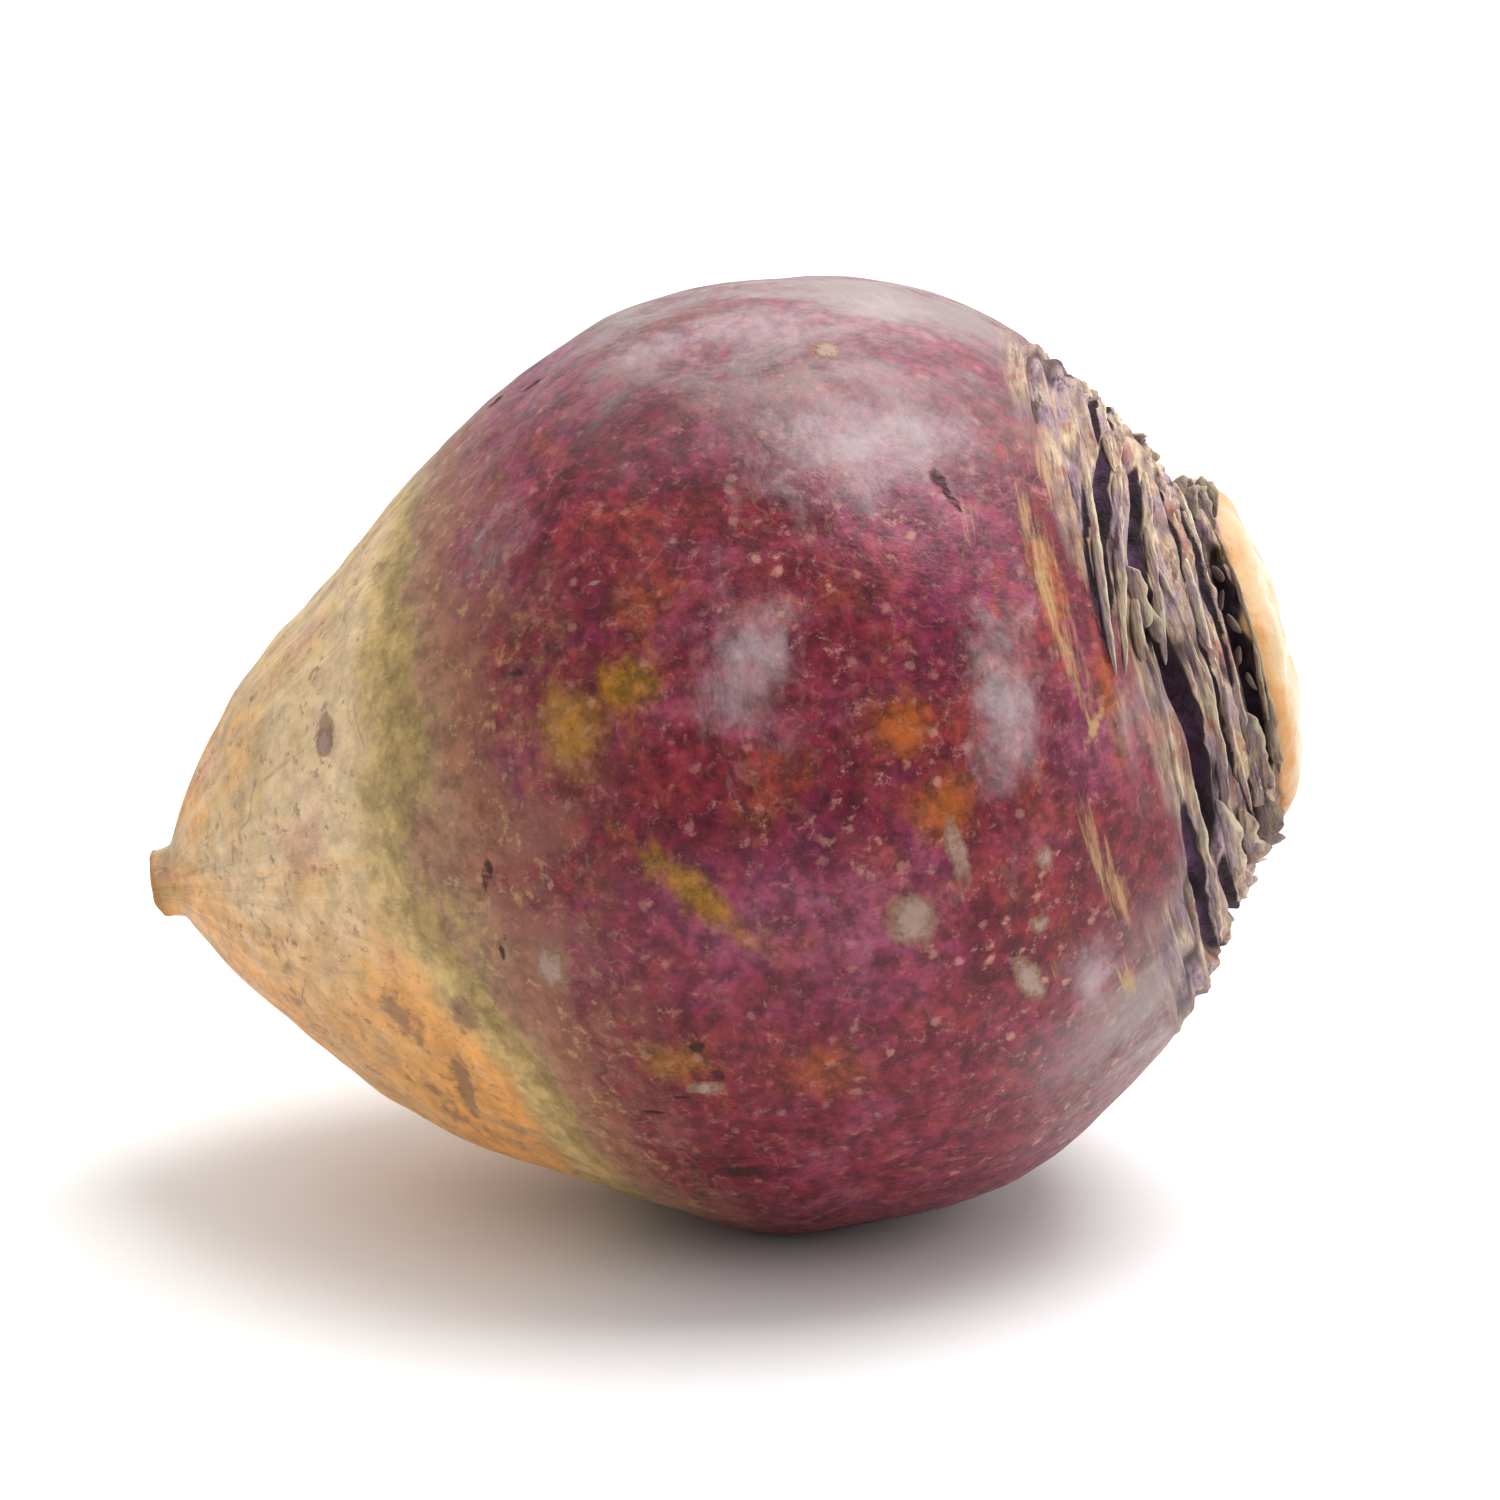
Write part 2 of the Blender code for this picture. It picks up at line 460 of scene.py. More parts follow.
def mesh_from_shells(name: str, shells: Sequence[Shell]) -> bpy.types.Object:
    """One smooth-shaded piece from closed shells.

    Args:
        name: name of the piece.
        shells: the shells, whose points follow each other in the mesh.

    Returns:
        The new object, linked to the scene.
    """
    corners, loops, sizes, start = [], [], [], 0
    for shell in shells:
        quads, fans = shell.faces()
        corners.append(shell.corners())
        loops += [quads.ravel() + start, fans.ravel() + start]
        sizes += [np.full(len(quads), 4), np.full(len(fans), 3)]
        start += len(corners[-1])
    every, loop, size = (np.concatenate(part) for part in (corners, loops, sizes))
    mesh = bpy.data.meshes.new(name)
    mesh.vertices.add(len(every))
    mesh.vertices.foreach_set("co", every.astype(np.float32).ravel())
    mesh.loops.add(len(loop))
    mesh.loops.foreach_set("vertex_index", loop.astype(np.int32))
    mesh.polygons.add(len(size))
    starts = np.concatenate([[0], np.cumsum(size)[:-1]])
    mesh.polygons.foreach_set("loop_start", starts.astype(np.int32))
    mesh.update(calc_edges=True)
    mesh.validate()
    mesh.shade_smooth()
    return in_scene(name, mesh)


def volume_of(corners: np.ndarray, quads: np.ndarray, fans: np.ndarray) -> float:
    """Signed volume: the sum of each triangle's corner triple product over six.

    Args:
        corners: all points.
        quads: corner numbers of the quads.
        fans: corner numbers of the triangles.

    Returns:
        The volume, below 0 where the faces point inwards.
    """
    triangles = np.concatenate([quads[:, [0, 1, 2]], quads[:, [0, 2, 3]], fans])
    a, b, c = (corners[triangles[:, i]] for i in range(3))
    return float(np.sum(a * np.cross(b, c)) / 6.0)


def paint(piece: bpy.types.Object, name: str, values: np.ndarray) -> None:
    """Writes one number or one vector for each point of a piece.

    Args:
        piece: the piece.
        name: name that the finish reads.
        values: a row of numbers, or rows of x, y and z.
    """
    kind, part = ("FLOAT", "value") if values.ndim == 1 else ("FLOAT_VECTOR", "vector")
    layer = piece.data.attributes.new(name, kind, "POINT")
    layer.data.foreach_set(part, values.astype(np.float32).ravel())


# ---------------------------------------------------------------- marks on the skin


class Mark(Enum):
    """Kinds of mark, each the name of the number that the finish reads."""

    # Pale waxy patches, partly painted highlights of the lamps on the wax.
    BLOOM = "bloom_and_highlight"
    OLIVE = "olive"
    RUST = "rust"
    CORK = "cork"
    SCAB = "scab"
    DARK = "dark"
    SCRATCH = "scratch"
    STRAW = "straw"
    FLECK = "fleck"


# Soft marks are painted as bells, and the others as the reach to the nearest of their kind.
SOFT_MARKS = (Mark.BLOOM, Mark.OLIVE, Mark.RUST, Mark.CORK, Mark.STRAW, Mark.FLECK)
FAR_REACH = 6.0  # a bell is as good as nothing from here on
HELD_REACH = 4.0  # a painted reach grows no further


@dataclass(frozen=True)
class Patch:
    """An oval mark on the skin, which may also rise from it or sink into it as a bell."""

    along: float
    around: float
    length: float
    width: float
    turn: float = 0.0
    strength: float = 1.0
    rise: float = 0.0

    def reach(self, grid: SkinGrid) -> np.ndarray:
        """Distance from the middle on the skin, as a share of the oval's half sizes.

        The offset down the meridian and the offset around the skin turn by the mark's own turn,
        and each is divided by its half size before both join as a right triangle's sides.

        Args:
            grid: the sampled form.

        Returns:
            1 on the oval's edge, 0 in its middle.
        """
        down = grid.arc - grid.form.arc_of(self.along * MM)
        over = grid.radius * np.radians(turn_between(grid.around, self.around))
        cosine = math.cos(math.radians(self.turn))
        sine = math.sin(math.radians(self.turn))
        far = (down * cosine + over * sine) / (self.length * MM)
        wide = (over * cosine - down * sine) / (self.width * MM)
        return np.hypot(far, wide)

    def bell(self, grid: SkinGrid) -> np.ndarray:
        """exp(-reach^2)."""
        return np.exp(-np.minimum(self.reach(grid), FAR_REACH) ** 2)


# Each patch: along mm, around degrees, half length mm, half width mm, turn, strength, rise mm
PATCHES: dict[Mark, tuple[Patch, ...]] = {
    # Pale waxy patches: partly real wax, partly painted highlights.
    Mark.BLOOM: (
        Patch(25.5, 41, 13.0, 8.0, 12, 0.95),
        Patch(8.4, 65, 5.5, 10.0, -12, 0.68),
        Patch(35.5, 75, 5.0, 12.0, -14, 0.75),
        Patch(14.0, 18, 16.0, 7.0, 0, 0.75),
        Patch(30.0, 12, 9.0, 9.0, 0, 0.60),
        Patch(37.4, 118, 4.0, 6.0, 20, 0.70),
        Patch(-20.0, 42, 7.0, 6.0, 0, 0.35),
        Patch(18.0, 335, 14.0, 14.0, 0, 0.65),
        Patch(5.0, 250, 12.0, 9.0, 30, 0.60),
        Patch(30.0, 215, 9.0, 7.0, 0, 0.55),
    ),
    Mark.OLIVE: (
        Patch(-13.5, 67, 5.6, 5.6, 0, 1.1),
        Patch(-6.5, 65, 4.6, 4.4, 20, 0.9),
        Patch(-3.0, 89.5, 10.5, 2.4, -52, 1.0),
        Patch(-11.5, 110, 5.0, 3.6, 0, 1.0),
        Patch(-8.0, 200, 6.0, 4.0, 20, 0.80),
        Patch(4.0, 285, 5.0, 6.0, -20, 0.80),
    ),
    Mark.RUST: (
        Patch(23.6, 76, 4.0, 4.4, 0, 1.1),
        Patch(25.8, 86, 4.6, 4.2, 0, 1.15),
        Patch(5.3, 115, 7.0, 4.6, 0, 1.1),
        Patch(-2.4, 56, 6.0, 5.5, 30, 0.70),
        Patch(16.0, 60, 10.0, 4.0, 0, 0.55),
        Patch(10.0, 78, 12.0, 5.0, 40, 0.45),
        Patch(45.5, 78, 2.4, 11.0, 0, 0.85),
        Patch(35.0, 108, 5.0, 6.0, 0, 0.45),
        Patch(6.0, 230, 7.0, 6.0, 30, 0.80),
        Patch(28.0, 280, 8.0, 7.0, 0, 0.70),
        Patch(-12.0, 330, 7.0, 5.0, 0, 0.60),
        Patch(42.5, 62, 3.0, 14.0, 0, 0.65),
    ),
    Mark.CORK: (
        Patch(-44.6, 109, 3.4, 5.0, 10, 1.15, 0.35),
        Patch(-36.1, 106, 3.2, 4.4, -20, 1.05, 0.35),
        Patch(-40.5, 124, 1.7, 9.0, -12, 1.25, -0.45),
        Patch(-46.0, 54, 2.4, 3.4, 10, 1.15, 0.25),
        Patch(-50.0, 215, 2.2, 5.0, 0, 0.9, -0.25),
        Patch(-38.0, 292, 2.4, 3.5, 0, 0.8, 0.20),
    ),
    Mark.SCAB: (
        Patch(-22.7, 96, 1.8, 2.6, 0, 1.0, 0.60),
        Patch(30.5, 112, 1.2, 3.4, 12, 1.0, 0.15),
        Patch(35.5, 97, 0.9, 1.3, 0, 1.0, 0.12),
        Patch(19.7, 98, 2.5, 2.5, 0, 1.0, 0.20),
        Patch(33.1, 105, 1.0, 1.0, 0, 1.0, 0.15),
        Patch(26.4, 92, 0.9, 3.6, 0, 1.0, 0.20),
        Patch(22.6, 24, 1.7, 1.5, 0, 1.0, 0.20),
        Patch(-8.9, 114, 1.9, 0.8, 0, 1.0, 0.15),
        Patch(-45.9, 56, 1.3, 1.6, 0, 1.0, 0.20),
        Patch(12.0, 205, 1.8, 1.6, 0, 1.0, 0.20),
        Patch(30.0, 255, 1.4, 2.4, 0, 1.0, 0.20),
        Patch(-10.0, 310, 2.0, 1.4, 0, 1.0, 0.25),
    ),
    Mark.DARK: (
        Patch(-28.0, 83, 0.60, 2.7, -28, 1.0, -0.55),
        Patch(-28.6, 94, 0.45, 2.5, -24, 1.0, -0.40),
        Patch(-19.0, 59, 0.9, 0.6, 0, 1.0, -0.45),
        Patch(-8.4, 108, 0.9, 0.7, 0, 1.0, -0.40),
        Patch(-7.0, 112, 0.6, 1.1, 0, 1.0, -0.40),
        Patch(-15.5, 118, 3.0, 0.35, 12, 1.0, -0.40),
        Patch(-12.2, 115, 1.6, 0.35, 0, 1.0, -0.30),
        Patch(-9.0, 130, 2.6, 0.9, 0, 1.0, -0.35),
        Patch(-20.0, 6, 1.2, 0.9, 0, 1.0, -0.40),
        Patch(-14.5, 11, 1.3, 0.6, 0, 1.0, -0.40),
        Patch(33.2, 46, 0.60, 2.0, 25, 1.0, -0.60),
        Patch(34.6, 49, 0.35, 1.3, 25, 1.0, -0.40),
        Patch(-36.5, 104, 0.5, 1.2, 0, 1.0, -0.30),
        Patch(0.0, 222, 0.4, 2.4, 20, 1.0, -0.50),
        Patch(20.0, 298, 0.5, 1.6, -30, 1.0, -0.45),
    ),
    Mark.SCRATCH: (
        Patch(-7.4, 51.5, 2.6, 0.16, 14, 1.0, -0.05),
        Patch(26.0, 28, 2.9, 0.30, 40, 1.0, -0.15),
        Patch(16.2, 29.5, 1.7, 0.20, 4, 1.0, -0.10),
        Patch(18.0, 240, 4.0, 0.30, 30, 1.0, -0.10),
        Patch(-4.0, 325, 3.5, 0.25, -35, 1.0, -0.10),
    ),
    Mark.FLECK: (
        Patch(16.0, 60, 8.0, 13.0, 10, 0.9),
        Patch(21.0, 84, 8.0, 13.0, 0, 0.9),
        Patch(26.0, 50, 10.0, 9.0, 0, 0.7),
        Patch(3.0, 84, 9.0, 6.0, 0, 0.6),
        Patch(31.0, 108, 12.0, 13.0, 0, 1.0),
        Patch(20.0, 215, 16.0, 22.0, 0, 0.8),
        Patch(14.0, 300, 16.0, 18.0, 0, 0.7),
    ),
    Mark.STRAW: (
        Patch(44.2, 41, 2.0, 9.0, 0, 0.85),
        Patch(45.8, 56, 1.2, 9.0, 8, 0.8),
        Patch(43.4, 83, 4.2, 0.8, 42, 1.0, 0.15),
        Patch(42.5, 62, 3.4, 30.0, 4, 0.85),
        Patch(41.5, 104, 3.2, 18.0, 10, 0.85),
        Patch(42.0, 100, 2.4, 7.0, 12, 0.7),
        Patch(39.0, 62, 2.0, 6.0, 0, 0.6),
        Patch(36.0, 52, 5.0, 9.0, 0, 0.65),
        Patch(33.0, 112, 6.0, 9.0, 0, 0.60),
        Patch(18.0, 52, 9.0, 4.0, 20, 0.60),
        Patch(41.0, 125, 3.0, 8.0, 0, 0.8),
        Patch(43.0, 200, 3.0, 12.0, 0, 0.8),
        Patch(42.0, 275, 3.0, 12.0, 0, 0.7),
        Patch(1.0, 104, 0.5, 4.0, 14, 0.8),
    ),
}


@dataclass(frozen=True)
class SoilLine:
    """Where the purple skin gives way to the cream root: along in mm at a few directions."""

    around: tuple[float, ...] = (15, 45, 70, 95, 115, 140, 190, 250, 310)
    along: tuple[float, ...] = (-29, -30.5, -32.5, -31, -26.5, -22, -24, -28.5, -31)
    spread: tuple[float, ...] = (0.60, 0.85, 1.20, 1.00, 0.70, 0.60, 0.90, 1.10, 0.80)

    def above(self, grid: SkinGrid) -> np.ndarray:
        """Distance down the meridian from the line in mm over the local spread of the change.

        Args:
            grid: the sampled form.

        Returns:
            Above 0 on the purple side.
        """
        turn = np.degrees(grid.around)
        line = np.interp(turn, self.around, self.along, period=360) * MM
        spread = np.interp(turn, self.around, self.spread, period=360)
        return (grid.form.arc_of(line) - grid.arc) / MM / spread


# ---------------------------------------------------------------- neck of leaf scars


@dataclass(frozen=True)
class ScarGroove:
    """A crescent groove between two leaf bases on the neck.

    It runs at along + lean * t + bow * t^2, where t goes from -1 to 1 over its arc, and its depth
    fades to nothing at both ends as 1 - t^4.
    """

    along: float
    around: float
    arc: float
    width: float
    depth: float
    lean: float = 0.0
    bow: float = 0.0
    violet: float = 0.3

    def cut(self, grid: SkinGrid, wander: np.ndarray, crownward: float = 0.0) -> np.ndarray:
        """Depth of the groove as a share from 0 to 1.

        Args:
            grid: the sampled form.
            wander: noise that makes the groove's line and width uneven.
            crownward: how far the line moves towards the crown, as a share of the width.

        Returns:
            1 on the groove's floor, and 0 away from it.
        """
        share = turn_between(grid.around, self.around) / self.arc
        line = (self.along + self.lean * share + self.bow * share**2) * MM
        off = (grid.arc - grid.form.arc_of(line)) / MM + 0.35 * wander + crownward * self.width
        wide = self.width * (0.75 + 0.35 * wander)
        ends = np.clip(1 - share**4, 0, 1)
        return ends * np.exp(-(np.abs(off / np.maximum(wide * (0.3 + 0.7 * ends), 0.05)) ** 3))


# Each groove: along mm, around degrees, arc degrees, width mm, depth mm, lean mm, bow mm, violet
GROOVES = (
    ScarGroove(48.8, 48, 28, 0.95, 1.7, -2.5, 0.0, 0.7),
    ScarGroove(46.9, 56, 20, 0.45, 0.5, -0.9, 0.0, 0.2),
    ScarGroove(51.6, 50, 26, 0.90, 1.8, -1.6, 0.2, 0.5),
    ScarGroove(52.3, 88, 34, 1.60, 2.5, 0.45, -1.5, 0.6),
    ScarGroove(55.4, 66, 60, 0.40, 1.0, 0.2, 0.7, 0.2),
    ScarGroove(57.3, 60, 58, 0.36, 0.9, 0.0, 0.4, 0.1),
    ScarGroove(59.2, 80, 44, 1.35, 2.0, 0.2, -0.3, 0.1),
    ScarGroove(49.7, 124, 24, 0.95, 1.4, -0.3, 0.0, 1.0),
    ScarGroove(57.0, 135, 26, 0.60, 1.4, -0.4, 0.0, 0.4),
    ScarGroove(53.0, 150, 30, 0.80, 1.5, 0.8, 0.5, 0.6),
    ScarGroove(50.5, 185, 34, 0.90, 1.6, 0.6, 0.8, 0.4),
    ScarGroove(55.5, 190, 36, 0.70, 1.4, -0.6, 0.6, 0.5),
    ScarGroove(58.8, 200, 40, 0.80, 1.5, 0.3, 0.3, 0.2),
    ScarGroove(52.6, 232, 32, 0.90, 1.7, -1.0, 0.6, 0.4),
    ScarGroove(48.6, 245, 26, 0.60, 1.0, 0.8, 0.4, 0.4),
    ScarGroove(56.6, 250, 34, 0.60, 1.3, 0.6, 0.5, 0.5),
    ScarGroove(59.4, 282, 36, 0.80, 1.4, -0.2, 0.2, 0.2),
    ScarGroove(50.6, 290, 30, 0.90, 1.6, -0.8, 0.7, 0.4),
    ScarGroove(54.2, 305, 36, 0.90, 1.7, 0.7, 0.6, 0.6),
    ScarGroove(57.4, 325, 30, 0.50, 1.1, -0.4, 0.3, 0.3),
    ScarGroove(48.8, 338, 26, 0.70, 1.2, 0.6, 0.5, 0.4),
    ScarGroove(52.0, 352, 30, 0.80, 1.5, -0.6, 0.6, 0.4),
    ScarGroove(59.2, 356, 30, 0.60, 1.2, 0.2, 0.2, 0.2),
    ScarGroove(50.6, 14, 20, 0.55, 1.1, -0.5, 0.3, 0.3),
)


@dataclass
class LeafScarNeck:
    """Relief and numbers of the neck: crescent grooves between fibrous rings of leaf scars."""

    edge_around: tuple[float, ...] = (20, 50, 68, 90, 112, 132, 180, 260, 330)
    edge_along: tuple[float, ...] = (45.5, 47.0, 49.0, 49.6, 49.4, 47.5, 46.5, 47.0, 46.0)
    edge_blend: float = 4.0
    fibre_height: float = 0.00034
    ring_height: float = 0.00045
    knob_height: float = 0.0005
    crease_depth: float = 0.00045
    ring_pitch: float = 3.1  # mm down the skin
    knob_size: float = 0.0022
    rim_knobs: tuple[float, float] = (57.0, 59.0)  # mm, where the knobs grow taller
    noise: LatticeNoise = field(default_factory=lambda: LatticeNoise(5))

    def ledge(self, grid: SkinGrid) -> np.ndarray:
        """Share of the neck: 0 on the shoulder, 1 on the scars, 0 again on the cut.

        Args:
            grid: the sampled form.

        Returns:
            The share at each point.
        """
        ragged = 1.6 * self.noise.at(grid.points, 0.009, 3) + 1.4 * self.fibres(grid)
        turn = np.degrees(grid.around)
        edge = np.interp(turn, self.edge_around, self.edge_along, period=360)
        low = smooth(grid.along / MM + ragged - edge, -self.edge_blend, 0.6)
        crown = grid.form.crown_height / MM
        high = 1 - smooth(grid.along / MM + 0.5 * ragged, crown + 0.1, crown + 1.1)
        return low * high

    def fibres(self, grid: SkinGrid) -> np.ndarray:
        """Rings of fibre: noise stretched around the neck and fine along it."""
        return self.noise.at(grid.growth(9.0), 0.018, 4)

    def creases(self, grid: SkinGrid) -> np.ndarray:
        """Thin creases around the neck, where stretched noise passes through nothing.

        Args:
            grid: the sampled form.

        Returns:
            1 in a crease, 0 away from it.
        """
        coarse = self.noise.at(grid.growth(14.0), 0.040, 2)
        fine = self.noise.at(grid.growth(14.0) + 0.1, 0.019, 2)
        lines = np.maximum(np.exp(-((coarse / 0.10) ** 2)), 0.6 * np.exp(-((fine / 0.12) ** 2)))
        return lines * self.ledge(grid)

    def groove(self, grid: SkinGrid) -> tuple[np.ndarray, np.ndarray, np.ndarray]:
        """Depth in metres, painted shade and violet tint of the grooves, the deepest winning.

        Args:
            grid: the sampled form.

        Returns:
            The three values at each point.
        """
        wander = self.noise.at(grid.growth(2.0), 0.006, 2)
        depth, dark, violet = np.zeros((3, *grid.along.shape))
        for groove in GROOVES:
            share = groove.cut(grid, wander)
            # Painted shade: the dark stripe moves onto each groove's crown-side wall.
            wall_shade = groove.cut(grid, wander, 0.55)
            depth = np.maximum(depth, share * groove.depth * MM)
            dark = np.maximum(dark, wall_shade * min(1.0, 0.45 + 0.35 * groove.depth))
            violet = np.maximum(violet, share * groove.violet)
        return depth, dark, violet

    def relief(self, grid: SkinGrid) -> np.ndarray:
        """Height: fibres and rings on the scars, knobs in places, less the grooves.

        Args:
            grid: the sampled form.

        Returns:
            The height in metres.
        """
        scars = self.ledge(grid)
        depth, dark, _ = self.groove(grid)
        wobble = 2.0 * self.noise.at(grid.points, 0.02)
        rings = np.cos((grid.arc / MM) * FULL_TURN / self.ring_pitch + wobble)
        knobs = np.clip(self.noise.at(grid.points, self.knob_size, 2), 0, 1)
        rim = smooth(grid.along / MM, *self.rim_knobs)
        height = self.fibre_height * self.fibres(grid) + self.ring_height * rings * (1 - dark)
        height = height + self.knob_height * knobs * (0.35 + rim)
        height = height - self.crease_depth * self.creases(grid)
        return scars * height - np.where(grid.on_cut(), 0.0, depth)


# ---------------------------------------------------------------- finishes


class NodeWeb:
    """Short calls that add and join the nodes of one tree."""

    def __init__(self, tree: bpy.types.NodeTree) -> None:
        """Keeps the tree."""
        self.tree = tree

    def feed(self, socket: Socket, value: Feed) -> None:
        """Joins another node's output to a socket, or sets the socket's own value.

        Args:
            socket: the socket to feed.
            value: an output, a number, or a colour or vector.
        """
        if isinstance(value, Socket):
            self.tree.links.new(value, socket)
        elif isinstance(value, (int, float)):
            socket.default_value = value
        else:
            socket.default_value = (*value, 1.0)[: len(socket.default_value)]

    def node(
        self, kind: str, inputs: Optional[dict[Union[int, str], Feed]] = None, **settings: str
    ) -> bpy.types.Node:
        """Adds a node.

        Args:
            kind: the node's type, without the word that all shader nodes start with.
            inputs: what feeds each of its sockets.
            settings: its named options.

        Returns:
            The node.
        """
        made = self.tree.nodes.new("ShaderNode" + kind)
        for name, option in settings.items():
            setattr(made, name, option)
        for socket, value in (inputs or {}).items():
            self.feed(made.inputs[socket], value)
        return made

    def object_place(self) -> Socket:
        """The piece's own coordinates, in metres."""
        return self.node("TexCoord").outputs["Object"]

    def number(self, name: str) -> Socket:
        """A number painted on the mesh."""
        return self.node("Attribute", attribute_name=name).outputs["Fac"]

    def grown(self, stretch: float) -> Socket:
        """The painted cylinder coordinates: over 1 runs patterns around it, under 1 along it.

        Args:
            stretch: what its length is multiplied by.

        Returns:
            The coordinates.
        """
        place = self.node("Attribute", attribute_name="growth").outputs["Vector"]
        inputs = {0: place, 1: (1.0, 1.0, stretch)}
        return self.node("VectorMath", inputs, operation="MULTIPLY").outputs[0]

    def noise(
        self, place: Feed, scale: float, detail: float = 2.0, rough: float = 0.5, warp: float = 0.0
    ) -> Socket:
        """Cloudy noise from 0 to 1.

        Args:
            place: where it is read.
            scale: cells to the metre.
            detail: how many halvings are summed.
            rough: how strong each halving is.
            warp: how far the cells bend.

        Returns:
            The noise.
        """
        inputs = {
            "Vector": place, "Scale": scale, "Detail": detail, "Roughness": rough, "Distortion": warp
        }
        return self.node("TexNoise", inputs).outputs["Fac"]

    def cells(self, place: Feed, scale: float) -> tuple[Socket, Socket]:
        """Distance to the nearest of scattered dots, and that dot's own random number.

        Args:
            place: where they are read.
            scale: dots to the metre.

        Returns:
            Both numbers.
        """
        node = self.node("TexVoronoi", {"Vector": place, "Scale": scale})
        split = self.node("SeparateColor", {0: node.outputs["Color"]})
        return node.outputs["Distance"], split.outputs[0]

    def threads(self, place: Feed, scale: float, width: float) -> Socket:
        """Thin curly threads where cloudy noise passes its middle, broken up by finer noise.

        Args:
            place: where they are read.
            scale: cells to the metre.
            width: how far from the middle a thread fades out.

        Returns:
            1 on a thread, 0 away from it.
        """
        cloud = self.noise(place, scale, 3, 0.55, 0.35)
        line = self.span(self.math("ABSOLUTE", self.math("SUBTRACT", cloud, 0.5)), width, 0.0)
        return self.times(line, self.span(self.noise(place, 1.6 * scale, 4, 0.7), 0.50, 0.62))

    def span(
        self, value: Feed, low: float, high: float, to_low: float = 0.0, to_high: float = 1.0
    ) -> Socket:
        """Smoothly remaps low..high to to_low..to_high and holds both ends.

        Args:
            value: what is remapped.
            low: value that gives to_low.
            high: value that gives to_high.
            to_low: result at low.
            to_high: result at high.

        Returns:
            The remapped value.
        """
        inputs = {"Value": value, "From Min": low, "From Max": high, "To Min": to_low, "To Max": to_high}
        return self.node("MapRange", inputs, interpolation_type="SMOOTHSTEP").outputs["Result"]

    def math(self, operation: str, first: Feed, second: Feed = 0.0) -> Socket:
        """One sum on two numbers."""
        return self.node("Math", {0: first, 1: second}, operation=operation).outputs[0]

    def times(self, *factors: Feed) -> Socket:
        """Product of two or more numbers."""
        return functools.reduce(functools.partial(self.math, "MULTIPLY"), factors)

    def plus(self, *parts: Feed) -> Socket:
        """Sum of two or more numbers."""
        return functools.reduce(functools.partial(self.math, "ADD"), parts)

    def sway(self, noise: Feed, amount: float) -> Socket:
        """Noise about its middle, as (noise - 0.5) * amount."""
        return self.times(self.math("SUBTRACT", noise, 0.5), amount)

    def mix(self, share: Feed, low: Feed, high: Feed, blend: str = "MIX") -> Socket:
        """Blends two colours by a share."""
        inputs = {0: share, 6: low, 7: high}
        return self.node("Mix", inputs, data_type="RGBA", blend_type=blend).outputs[2]

    def shaded(self, base: Feed, noise: Feed, contrast: tuple[float, ...]) -> Socket:
        """A colour times its noise, remapped by the four numbers of span()."""
        return self.mix(1.0, base, self.span(noise, *contrast), "MULTIPLY")

    def ramp(self, value: Feed, stops: Sequence[tuple[float, Colour]]) -> Socket:
        """Colour at a value, between stops.

        Args:
            value: where the ramp is read.
            stops: place and colour of each stop.

        Returns:
            The colour.
        """
        node = self.node("ValToRGB", {0: value})
        elements = node.color_ramp.elements
        while len(elements) < len(stops):
            elements.new(1.0)
        for element, (position, colour) in zip(elements, stops):
            element.position = position
            element.color = (*colour, 1.0)
        return node.outputs["Color"]

    def bump(self, height: Feed, depth: float) -> Socket:
        """Shades the surface as if it rose by height times depth metres."""
        return self.node("Bump", {"Distance": depth, "Height": height}).outputs["Normal"]


class FinishWeb(NodeWeb):
    """The nodes of one material, around its Principled shader."""

    def __init__(self, name: str) -> None:
        """Starts a material with only a Principled shader and its output.

        Args:
            name: name of the material.
        """
        self.material = bpy.data.materials.new(name)
        self.material.use_nodes = True
        super().__init__(self.material.node_tree)
        self.shader = self.tree.nodes["Principled BSDF"]

    def dress(self, **inputs: Feed) -> bpy.types.Material:
        """Feeds the shader's sockets, named with _ for each space, and gives the material.

        Args:
            inputs: what feeds each socket.

        Returns:
            The finished material.
        """
        for name, value in inputs.items():
            self.feed(self.shader.inputs[name.replace("_", " ")], value)
        return self.material


